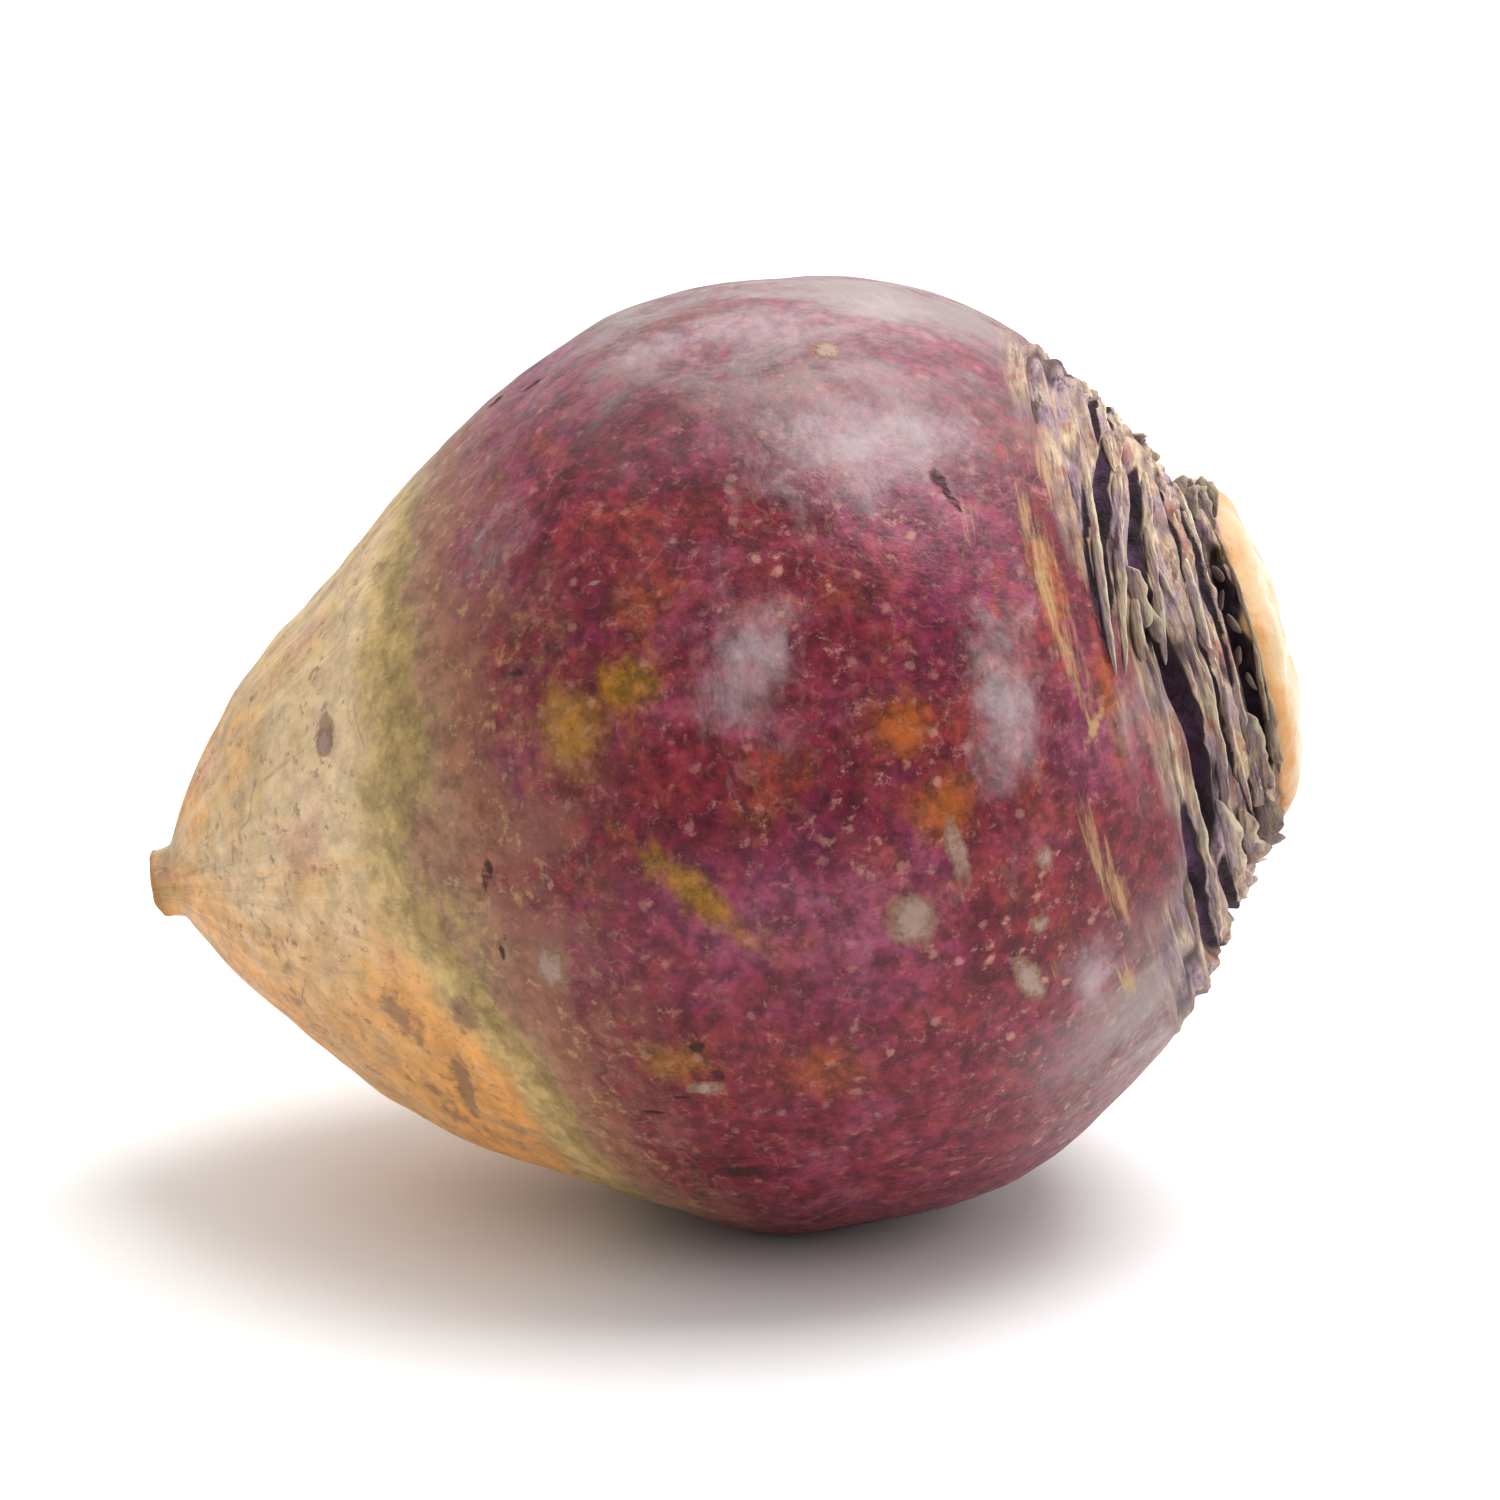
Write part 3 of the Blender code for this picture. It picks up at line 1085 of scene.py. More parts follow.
@dataclass(frozen=True)
class PurpleSkin:
    """The purple waxy skin above the soil line."""

    crimson: Colour = (0.170, 0.013, 0.024)
    wine: Colour = (0.105, 0.006, 0.020)
    purple: Colour = (0.180, 0.020, 0.060)
    mauve: Colour = (0.250, 0.060, 0.110)
    russet: Colour = (0.240, 0.036, 0.022)
    fleck: Colour = (0.500, 0.230, 0.180)
    thread: Colour = (0.420, 0.220, 0.110)
    # Painted shade towards the underside.
    under: Colour = (0.150, 0.012, 0.018)
    rust: Colour = (0.290, 0.070, 0.008)
    olive: Colour = (0.290, 0.130, 0.004)

    def colour(self, web: NodeWeb, place: Feed) -> Socket:
        """Broad clouds of crimson to mauve, mottled russet, with pale flecks and patches, and painted
        shade towards the underside.

        Args:
            web: the material's nodes.
            place: the piece's own coordinates.

        Returns:
            The colour.
        """
        broad = web.noise(place, 30, 3, 0.55, 0.4)
        stops = ((0.34, self.crimson), (0.46, self.wine), (0.56, self.purple), (0.70, self.mauve))
        made = web.ramp(broad, stops)
        mottle = web.noise(place, 120, 5, 0.65, 0.2)
        made = web.mix(web.span(mottle, 0.46, 0.66, 0.0, 0.65), made, self.russet)
        dark = web.noise(place, 210, 4, 0.6)
        made = web.mix(web.span(dark, 0.54, 0.40, 0.0, 0.60), made, self.wine)
        veil = web.noise(web.grown(0.45), 70, 6, 0.70, 0.5)
        made = web.mix(web.span(veil, 0.52, 0.70, 0.0, 0.55), made, self.mauve)
        grown = web.grown(1.5)
        ragged = web.sway(web.noise(grown, 170, 7, 0.78, 0.4), 2.0)
        rust = web.plus(web.number(Mark.RUST.value), ragged)
        made = web.mix(web.span(rust, 0.20, 1.05, 0.0, 0.85), made, self.rust)
        olive = web.plus(web.number(Mark.OLIVE.value), ragged)
        made = web.mix(web.span(olive, 0.16, 0.98, 0.0, 0.92), made, self.olive)
        # Painted shade: the skin darkens towards the underside.
        made = web.mix(web.times(web.number("under"), 0.50), made, self.under)
        return self.flecked(web, place, made)

    def flecked(self, web: NodeWeb, place: Feed, base: Feed) -> Socket:
        """Pale russet flecks: a fine grain, threads, and scattered dots of two sizes.

        Args:
            web: the material's nodes.
            place: the piece's own coordinates.
            base: the colour under them.

        Returns:
            The colour.
        """
        crowd = web.number("crowd")
        grain = web.noise(place, 520, 6, 0.75)
        made = web.shaded(base, web.noise(place, 430, 5, 0.7), (0.34, 0.66, 0.56, 1.46))
        grain_share = web.times(web.span(grain, 0.54, 0.72), web.span(crowd, 0.0, 1.0, 0.45, 1.0))
        made = web.mix(grain_share, made, self.fleck)
        made = web.mix(web.times(web.threads(place, 62, 0.012), 0.18), made, self.fleck)
        made = web.mix(web.times(web.threads(place, 130, 0.024), 0.17), made, self.thread)
        uneven = web.sway(web.noise(place, 900, 3, 0.7), 0.55)
        near, own = web.cells(place, 330)
        dot = web.times(web.span(web.plus(near, uneven), 0.28, 0.10), web.span(own, 0.45, 0.75))
        made = web.mix(web.times(dot, web.span(crowd, 0.0, 1.0, 0.30, 0.85)), made, self.fleck)
        near, own = web.cells(place, 150)
        dot = web.times(web.span(web.plus(near, uneven), 0.10, 0.0), web.span(own, 0.60, 0.70))
        return web.mix(web.times(dot, 0.6), made, self.fleck)


@dataclass(frozen=True)
class CreamRoot:
    """The cream and peach skin below the soil line, with its greenish upper band."""

    cream: Colour = (0.590, 0.410, 0.200)
    pale: Colour = (0.720, 0.530, 0.320)
    peach: Colour = (0.690, 0.390, 0.150)
    orange: Colour = (0.760, 0.350, 0.095)
    pink: Colour = (0.600, 0.330, 0.260)
    yellow: Colour = (0.540, 0.370, 0.150)
    green: Colour = (0.330, 0.220, 0.080)
    taupe: Colour = (0.310, 0.170, 0.095)
    brown: Colour = (0.270, 0.110, 0.065)
    cork: Colour = (0.230, 0.120, 0.070)
    scuff: Colour = (0.380, 0.250, 0.170)

    def colour(self, web: NodeWeb, place: Feed) -> Socket:
        """Clouds of cream and peach with streaks that run to the tap root.

        Args:
            web: the material's nodes.
            place: the piece's own coordinates.

        Returns:
            The colour.
        """
        broad = web.noise(place, 45, 3, 0.55, 0.5)
        stops = ((0.34, self.pale), (0.48, self.cream), (0.60, self.peach), (0.74, self.orange))
        made = web.ramp(broad, stops)
        streak = web.noise(web.grown(0.16), 210, 4, 0.6)
        made = web.mix(web.span(streak, 0.52, 0.72, 0.0, 0.55), made, self.peach)
        made = web.mix(web.span(streak, 0.48, 0.34, 0.0, 0.45), made, self.pale)
        blush = web.noise(place, 85, 4, 0.6)
        made = web.mix(web.span(blush, 0.56, 0.70, 0.0, 0.5), made, self.pink)
        warm = web.times(web.number("under"), web.span(broad, 0.30, 0.60, 0.35, 0.85))
        made = web.mix(warm, made, self.orange)
        made = web.shaded(made, web.noise(place, 260, 5, 0.7), (0.32, 0.68, 0.78, 1.20))
        scuffs = web.noise(web.grown(0.5), 130, 5, 0.7, 0.6)
        made = web.mix(web.span(scuffs, 0.55, 0.70, 0.0, 0.65), made, self.scuff)
        made = web.mix(web.times(web.threads(place, 48, 0.014), 0.65), made, self.cork)
        made = web.mix(web.times(web.threads(place, 120, 0.026), 0.60), made, self.pale)
        freckle = web.noise(place, 560, 5, 0.7)
        return web.mix(web.span(freckle, 0.55, 0.68, 0.0, 0.7), made, self.cork)


@dataclass(frozen=True)
class ScarFibre:
    """The dry fibrous leaf bases on the neck."""

    dark: Colour = (0.050, 0.026, 0.026)
    lavender: Colour = (0.350, 0.250, 0.300)
    tan: Colour = (0.450, 0.310, 0.225)
    straw: Colour = (0.720, 0.580, 0.390)
    rust: Colour = (0.300, 0.070, 0.035)
    shadow: Colour = (0.150, 0.080, 0.095)
    # Near-black painted shade in the grooves and at the leaf bases' feet.
    recess_shade: Colour = (0.012, 0.004, 0.007)
    violet: Colour = (0.130, 0.050, 0.140)

    def colour(self, web: NodeWeb, place: Feed) -> Socket:
        """Fibres that run around the neck, from dark through lavender and tan to straw.

        Args:
            web: the material's nodes.
            place: the piece's own coordinates.

        Returns:
            The colour.
        """
        fibre = web.noise(web.grown(9.0), 75, 5, 0.62, 0.3)
        hair = web.noise(web.grown(16.0), 160, 4, 0.65)
        stops = ((0.32, self.dark), (0.41, self.lavender), (0.52, self.tan), (0.66, self.straw))
        made = web.ramp(fibre, stops)
        made = web.mix(web.span(hair, 0.53, 0.64, 0.0, 0.45), made, self.straw)
        made = web.mix(web.span(hair, 0.49, 0.38, 0.0, 0.70), made, self.shadow)
        broad = web.noise(place, 140, 3, 0.6)
        made = web.mix(web.span(broad, 0.50, 0.66, 0.0, 0.55), made, self.lavender)
        return web.mix(web.span(broad, 0.46, 0.34, 0.0, 0.45), made, self.rust)


@dataclass(frozen=True)
class CutFlesh:
    """The pale flesh of the cut crown."""

    heart: Colour = (0.560, 0.430, 0.250)
    pale: Colour = (0.720, 0.625, 0.470)
    rind: Colour = (0.560, 0.260, 0.075)
    stain: Colour = (0.480, 0.300, 0.150)

    def colour(self, web: NodeWeb, place: Feed) -> Socket:
        """Cream flesh in soft clouds with faint growth rings and stains, warmer at its rind.

        Args:
            web: the material's nodes.
            place: the piece's own coordinates.

        Returns:
            The colour.
        """
        clouds = web.noise(place, 190, 5, 0.65)
        made = web.mix(web.span(clouds, 0.38, 0.62), self.heart, self.pale)
        wobble = web.sway(web.noise(place, 110, 4, 0.65), 9.0)
        rings = web.math("SINE", web.plus(web.times(web.number("cut_radius"), 0.75), wobble))
        made = web.mix(web.span(rings, 0.1, 1.0, 0.0, 0.45), made, self.heart)
        stains = web.noise(place, 420, 6, 0.75)
        made = web.mix(web.span(stains, 0.56, 0.74, 0.0, 0.65), made, self.stain)
        ragged = web.plus(web.number("rind"), web.sway(web.noise(place, 95, 5, 0.7), 1.8))
        return web.mix(web.span(ragged, 0.60, 1.20, 0.0, 0.95), made, self.rind)


@dataclass(frozen=True)
class SwedeFinish:
    """The whole finish: skin, root, scars and flesh, joined by the numbers on the mesh."""

    skin: PurpleSkin = PurpleSkin()
    root: CreamRoot = CreamRoot()
    fibre: ScarFibre = ScarFibre()
    flesh: CutFlesh = CutFlesh()
    # Colour of the pale waxy patches, partly painted highlights.
    bloom_and_highlight: Colour = (0.480, 0.390, 0.405)
    # Colour of the grey dusting, partly painted sheen on the top and painted reflection on the lower rim
    # near the crown.
    dust_and_sheen: Colour = (0.330, 0.270, 0.262)
    scab: Colour = (0.390, 0.265, 0.220)
    straw: Colour = (0.440, 0.270, 0.120)
    mark: Colour = (0.030, 0.014, 0.012)
    gloss: float = 0.42
    specular: float = 0.26
    bump_depth: float = 0.00042

    def soil_band(self, web: NodeWeb, place: Feed) -> Socket:
        """Purple above the soil line, then taupe and green, then the cream root.

        Args:
            web: the material's nodes.
            place: the piece's own coordinates.

        Returns:
            The colour.
        """
        ragged = web.sway(web.noise(place, 60, 7, 0.74, 0.4), 26.0)
        smear = web.sway(web.noise(web.grown(3.0), 60, 4, 0.6), 9.0)
        above = web.plus(web.number("soil"), ragged, smear)
        root = self.root
        stops = (
            (0.10, root.yellow), (0.36, root.green), (0.47, root.green), (0.56, root.taupe),
            (0.85, root.brown),
        )
        band = web.ramp(web.span(above, -16.0, 10.0), stops)
        band = web.shaded(band, web.noise(place, 330, 5, 0.7), (0.34, 0.66, 0.70, 1.28))
        band = web.mix(web.times(web.threads(place, 75, 0.020), 0.7), band, root.cork)
        speckle = web.noise(place, 480, 5, 0.72)
        band = web.mix(web.span(speckle, 0.54, 0.70, 0.0, 0.55), band, root.yellow)
        made = web.mix(web.span(above, -17.0, -9.0), root.colour(web, place), band)
        drift = web.noise(place, 130, 6, 0.72, 0.4)
        near = web.times(web.span(above, 26.0, 6.0), web.span(drift, 0.40, 0.58, 0.15, 0.75))
        skin = web.mix(near, self.skin.colour(web, place), root.brown)
        sprinkled = web.times(web.span(above, 24.0, 8.0), web.span(speckle, 0.52, 0.66, 0.0, 0.45))
        skin = web.mix(sprinkled, skin, root.yellow)
        return web.mix(web.span(above, 3.0, 11.0), made, skin)

    def dusted(self, web: NodeWeb, place: Feed, cloud: Feed) -> tuple[Socket, Socket]:
        """Grey waxy dusting over the skin that is partly painted sheen, and pale waxy patches that are
        partly painted highlights.

        Args:
            web: the material's nodes.
            place: the piece's own coordinates.
            cloud: noise that makes both uneven.

        Returns:
            The colour and the share of the pale waxy patches.
        """
        # Painted sheen: the grey dusting follows a share that is highest on the upward-facing top.
        drift = web.noise(web.grown(0.55), 95, 7, 0.72, 0.6)
        dust_and_sheen = web.times(web.number("dust_and_sheen"), web.span(drift, 0.36, 0.60, 0.22, 1.0))
        made = web.mix(dust_and_sheen, self.soil_band(web, place), self.dust_and_sheen)
        # Painted highlight: the pale waxy patches, partly real wax and partly the lamps' highlights.
        uneven = web.sway(web.noise(web.grown(1.6), 150, 6, 0.72, 0.5), 1.5)
        bloom_and_highlight = web.span(web.plus(web.number(Mark.BLOOM.value), uneven), 0.10, 0.95)
        bloom_and_highlight = web.times(bloom_and_highlight, web.span(cloud, 0.26, 0.60, 0.35, 1.0))
        return web.mix(web.times(bloom_and_highlight, 0.70), made, self.bloom_and_highlight), bloom_and_highlight

    def marked(
        self, web: NodeWeb, place: Feed, cloud: Feed, base: Feed
    ) -> tuple[Socket, Socket, Socket]:
        """Cork, straw, scabs with a ring of painted shade round each, scratches and dark cracks.

        Args:
            web: the material's nodes.
            place: the piece's own coordinates.
            cloud: noise that makes the scabs uneven.
            base: the colour under them.

        Returns:
            The colour, the share of the dark marks and the share of the scabs.
        """
        crumbs = web.sway(web.noise(place, 300, 6, 0.75), 2.4)
        cork = web.span(web.plus(web.number(Mark.CORK.value), crumbs), 0.45, 0.95)
        made = web.mix(web.times(cork, 0.75), base, self.root.cork)
        wisps = web.noise(web.grown(14.0), 95, 5, 0.70, 0.3)
        straw = web.span(web.times(web.number(Mark.STRAW.value), wisps), 0.28, 0.46, 0.0, 0.80)
        made = web.mix(straw, made, self.straw)
        ragged = web.sway(web.noise(place, 700, 4, 0.7), 1.9)

        def inside(kind: Mark, outer: float, inner: float) -> Socket:
            """Share of a mark, from its ragged reach."""
            return web.span(web.plus(web.number(kind.value), ragged), outer, inner)

        scab = inside(Mark.SCAB, 1.20, 0.50)
        # Painted shade: a dark ring round each scab.
        made = web.mix(web.times(inside(Mark.SCAB, 1.50, 1.10), 0.75), made, self.root.cork)
        made = web.mix(web.times(scab, web.span(cloud, 0.30, 0.60, 0.45, 0.85)), made, self.scab)
        made = web.mix(web.times(inside(Mark.SCRATCH, 1.6, 0.8), 0.5), made, self.scab)
        dark = inside(Mark.DARK, 1.40, 0.60)
        return web.mix(web.times(dark, 0.85), made, self.mark), dark, scab

    def dressed(self) -> bpy.types.Material:
        """Builds the material.

        Returns:
            A material whose colour, roughness and bump follow the skin.
        """
        web = FinishWeb("swede_finish")
        place = web.object_place()
        cloud = web.noise(place, 160, 5, 0.68, 0.3)
        ledge = web.number("ledge")
        made, bloom_and_highlight = self.dusted(web, place, cloud)
        made, dark, scab = self.marked(web, place, cloud, made)
        made = web.mix(ledge, made, self.fibre.colour(web, place))
        # Painted shade in the creases.
        made = web.mix(web.times(web.number("crease"), 0.85), made, self.fibre.dark)
        # Painted shade in the grooves, tinted violet in places.
        violet = web.times(web.number("violet"), web.span(cloud, 0.4, 0.6))
        recess_shade = web.mix(violet, self.fibre.recess_shade, self.fibre.violet)
        made = web.mix(web.span(web.number("groove"), 0.12, 0.50), made, recess_shade)
        made = web.mix(web.number("flesh"), made, self.flesh.colour(web, place))
        grain = web.noise(place, 900, 4, 0.7)
        rough = web.plus(
            self.gloss,
            web.times(bloom_and_highlight, 0.16),
            web.times(ledge, 0.34),
            web.times(dark, 0.2),
            web.span(grain, 0.3, 0.7, -0.07, 0.09),
        )
        streaks = web.times(
            web.noise(web.grown(0.16), 330, 4, 0.6), web.span(web.number("soil"), 0.0, -8.0), 0.9
        )
        height = web.plus(
            web.times(web.noise(place, 380, 3, 0.55), 0.55),
            web.times(grain, 0.35),
            web.times(web.noise(web.grown(9.0), 110, 5, 0.65), ledge, 2.6),
            streaks,
            web.times(scab, 0.4),
            web.times(dark, -0.8),
        )
        return web.dress(
            Base_Color=made,
            Roughness=rough,
            Specular_IOR_Level=self.specular,
            Normal=web.bump(height, self.bump_depth),
        )


# ---------------------------------------------------------------- the pieces


@dataclass
class SwedeSkin:
    """The swede's whole outside, from the cut crown to the trimmed tap root, as one closed skin."""

    grid: SkinGrid
    neck: LeafScarNeck = field(default_factory=LeafScarNeck)
    soil: SoilLine = field(default_factory=SoilLine)
    finish: SwedeFinish = field(default_factory=SwedeFinish)
    noise: LatticeNoise = field(default_factory=lambda: LatticeNoise(11))
    swell: float = 0.00055
    ripple: float = 0.00016
    streak: float = 0.00030
    cut_unevenness: float = 0.0006
    stub_trim: float = 0.0007
    tap_rim: float = 0.0046
    still_radius: tuple[float, float] = (0.004, 0.012)  # the relief sets in between these
    # Where the grey dusting and its painted sheen lie: on the upward-facing top, and on the lower rim
    # near the crown.
    dust_and_sheen_upward: tuple[float, float] = (0.66, 1.0)  # of the outward direction
    dust_and_sheen_along: tuple[float, float] = (18.0, 44.0)  # mm
    dust_and_sheen_around: float = 200.0  # degrees
    dust_and_sheen_fade: tuple[float, float] = (62.0, 94.0)  # degrees to either side
    crowd_along: tuple[float, float] = (5.0, 28.0)  # mm
    crowd_range: tuple[float, float] = (0.2, 1.0)
    end_soil: float = 60.0  # mm above or below the soil line at the ends

    @functools.cached_property
    def soil_above(self) -> np.ndarray:
        """Distance above the soil line in mm."""
        return self.soil.above(self.grid)

    def marks_relief(self) -> np.ndarray:
        """Sum of each mark's rise times its own bell, in metres."""
        every = (patch for patches in PATCHES.values() for patch in patches if patch.rise)
        return sum(patch.rise * MM * patch.bell(self.grid) for patch in every)

    def relief(self) -> np.ndarray:
        """Height over the form: swellings, ripples, root streaks, marks and the neck's scars.

        Returns:
            The height in metres.
        """
        grid = self.grid
        away = smooth(grid.radius, *self.still_radius)
        body = self.swell * self.noise.at(grid.points, 0.019, 2)
        body = body + self.ripple * self.noise.at(grid.points + 0.5, 0.005, 2)
        rootward = smooth(-self.soil_above, -2.0, 10.0)
        lines = self.noise.at(grid.growth(0.12), 0.0042, 2)
        rings = self.noise.at(grid.growth() * np.array([0.3, 0.3, 3.0]), 0.011, 2)
        body = body + self.streak * rootward * (lines + 0.5 * rings)
        flesh = self.flesh_share()
        cut = self.cut_unevenness * self.noise.at(grid.points, 0.007, 3)
        end = grid.form.root_length
        trim = -self.stub_trim * smooth(-grid.along, end - 0.002, end + 0.002)
        bare = away * (body * (1 - flesh) + self.marks_relief()) + cut * flesh + trim
        return bare + self.neck.relief(grid)

    def flesh_share(self) -> np.ndarray:
        """Share of bare flesh: 1 on the cut crown and on the tap root's cut face.

        Returns:
            The share at each point.
        """
        grid = self.grid
        crown = grid.form.crown_height / MM
        ragged = 0.7 * self.noise.at(grid.points, 0.004, 2)
        top = smooth(grid.along / MM + ragged, crown + 0.3, crown + 1.0)
        end = -(grid.form.root_length + grid.form.tap_length) / MM
        return np.maximum(top, smooth(-grid.along / MM, -end - 0.1, -end + 0.3))

    def strongest(self, kind: Mark) -> np.ndarray:
        """Largest bell of a kind of mark, each times its own strength."""
        return np.max([patch.strength * patch.bell(self.grid) for patch in PATCHES[kind]], axis=0)

    def nearest(self, kind: Mark) -> np.ndarray:
        """Smallest reach to a kind of mark, held where it is far off."""
        reaches = [patch.reach(self.grid) for patch in PATCHES[kind]]
        return np.minimum(np.min(reaches, axis=0), HELD_REACH)

    def build(self) -> bpy.types.Object:
        """Makes the mesh: each point of the form moves outwards by the relief.

        Returns:
            The dressed piece.
        """
        grid = self.grid
        points = grid.points + grid.outward * self.relief()[..., None]
        points[..., 2] = np.maximum(points[..., 2], 0.0)
        centre = np.array(0.0)
        ends = [grid.form.placed(centre, np.array(along), centre) for along in grid.ends]
        piece = mesh_from_shells("swede_skin", [Shell(points, *ends)])
        numbers = {kind.value: self.mark_numbers(kind) for kind in Mark}
        for name, (values, *at_ends) in {**numbers, **self.cover_numbers()}.items():
            paint(piece, name, np.append(values.ravel(), at_ends))
        growth = grid.growth()
        at_ends = [growth[0].mean(axis=0), growth[-1].mean(axis=0)]
        paint(piece, "growth", np.concatenate([growth.reshape(-1, 3), at_ends]))
        piece.data.materials.append(self.finish.dressed())
        return piece

    def mark_numbers(self, kind: Mark) -> tuple[np.ndarray, float, float]:
        """The number that a kind of mark paints on the grid, and at both ends.

        Args:
            kind: the kind of mark.

        Returns:
            The largest bell of a soft mark, or the smallest reach to a sharp one, and both ends.
        """
        if kind in SOFT_MARKS:
            return self.strongest(kind), 0.0, 0.0
        return self.nearest(kind), HELD_REACH, HELD_REACH

    def cover_numbers(self) -> dict[str, tuple[np.ndarray, float, float]]:
        """The other numbers that the finish reads.

        Returns:
            For each name, its values on the grid and at the crown's and the tap root's ends.
        """
        grid = self.grid
        upward = grid.outward[..., 2]
        # groove holds the painted shade of the grooves.
        _, groove, violet = self.neck.groove(grid)
        rind = smooth(grid.radius, 0.6 * grid.form.neck_radius, grid.form.neck_radius)
        trimmed = 0.70 + 0.5 * smooth(grid.radius, 0.5 * self.tap_rim, self.tap_rim)
        # Painted sheen and reflection: the grey dusting is strongest on the upward-facing top and on the
        # lower rim near the crown.
        crownward = smooth(grid.along / MM, *self.dust_and_sheen_along)
        off = np.abs(turn_between(grid.around, self.dust_and_sheen_around))
        rim = 1 - smooth(off, *self.dust_and_sheen_fade)
        over_top = smooth(upward, *self.dust_and_sheen_upward)
        dust_and_sheen = np.maximum(0.92 * over_top, 0.85 * crownward * rim)
        low = smooth(-upward, -0.05, 0.45)
        crowded = 0.8 * smooth(grid.along / MM, *self.crowd_along) * low
        crowded = np.maximum(crowded, self.strongest(Mark.FLECK))
        return {
            # Painted shade in the grooves.
            "groove": (np.where(grid.on_cut(), 0.0, groove), 0, 0),
            "violet": (violet, 0, 0),
            "ledge": (self.neck.ledge(grid), 0, 0),
            # Painted shade in the creases follows this share.
            "crease": (self.neck.creases(grid), 0, 0),
            "flesh": (self.flesh_share(), 1, 1),
            "soil": (self.soil_above, self.end_soil, -self.end_soil),
            "rind": (np.where(grid.along < 0, trimmed, rind), 0, 0),
            "cut_radius": (grid.radius / MM, 0, 0),
            # Grey dusting, partly painted sheen, kept above the soil line.
            "dust_and_sheen": (dust_and_sheen * smooth(self.soil_above, -6, 6), 0, 0),
            "crowd": (np.clip(crowded, *self.crowd_range), 0, 0),
            # Share facing down: painted shade on the purple skin, and more orange on the root.
            "under": (smooth(-upward, -0.15, 0.60), 0, 0),
        }


@dataclass(frozen=True)
class LeafBase:
    """What is left of one leaf: a thin dry blade that stands up along a line on the neck.

    The line is a groove's: along + lean * t + bow * t^2 for t from -1 to 1. The blade rises from it
    at `stand` degrees from the skin, curls outwards by the square of its height, and its free edge
    is ragged.
    """

    along: float
    around: float
    arc: float
    height: float
    lean: float = 0.0
    bow: float = 0.0
    stand: float = 40.0
    curl: float = 0.0
    thickness: float = 0.42
    ragged: float = 0.35
    shade: float = 0.0
    steps: int = 64
    sides: int = 12
    root_depth: float = 0.9  # mm that a blade reaches into the skin
    probe: float = 0.0004  # half the distance along the axis that gives the skin's slope
    edge_cell: float = 0.0030
    wrinkle_cell: float = 0.0018

    def shell(self, form: SwedeForm, noise: LatticeNoise) -> tuple[Shell, np.ndarray, np.ndarray]:
        """Carries the blade's oval section along its line.

        A section point is the line's point, plus the blade's direction times how far up it lies,
        plus the blade's own normal times the sine of its turn, plus the curl.

        Args:
            form: the swede's form.
            noise: raggedness of the free edge.

        Returns:
            The closed blade, its height share at each point, and its growth coordinates.
        """
        share = np.linspace(-0.995, 0.995, self.steps)
        line = (self.along + self.lean * share + self.bow * share**2) * MM
        turn = np.radians(self.around + self.arc * share)

        def on_skin(offset: float) -> np.ndarray:
            """Points of the form at an offset along the axis."""
            return form.placed(form.radius_of(line + offset), line + offset, turn)

        place = on_skin(0.0)
        up = unit(on_skin(self.probe) - on_skin(-self.probe))
        path = unit(np.gradient(place, axis=0))
        out = np.cross(up, path)
        axis_point = form.placed(np.zeros(self.steps), line, turn)
        out = unit(out * np.sign(np.sum(out * (place - axis_point), axis=-1, keepdims=True)))
        lift = math.radians(self.stand)
        blade = up * math.cos(lift) + out * math.sin(lift)
        normal = np.cross(path, blade)
        edge = 1 + self.ragged * noise.at(place, self.edge_cell, 3)
        taper = (np.clip(1 - np.abs(share) ** 3, 0, 1) ** 0.6)[:, None]
        tall = self.height * MM * np.clip(edge, 0.3, 1.8)[:, None] * taper
        section = np.linspace(0, FULL_TURN, self.sides, endpoint=False)
        high = ((1 - np.cos(section)) / 2)[None, :]
        sunk = self.root_depth * MM * taper
        rise = high * (tall + sunk) - sunk
        wrinkle = 1 + 0.5 * noise.at(place + 0.3, self.wrinkle_cell, 2)[:, None]
        thick = self.thickness * MM / 2 * (0.15 + 0.85 * taper) * wrinkle
        across = np.sin(section)[None, :] * thick * (1 - 0.45 * high)
        bend = self.curl * MM * high**2 * taper
        points = place[:, None] + rise[..., None] * blade[:, None]
        points = points + across[..., None] * normal[:, None] + bend[..., None] * out[:, None]
        growth = on_drum(turn, line)[:, None] + np.zeros_like(points)
        growth[..., 2] += rise
        height = np.broadcast_to(high, points.shape[:2])
        return Shell(points, points[0].mean(axis=0), points[-1].mean(axis=0)), height, growth


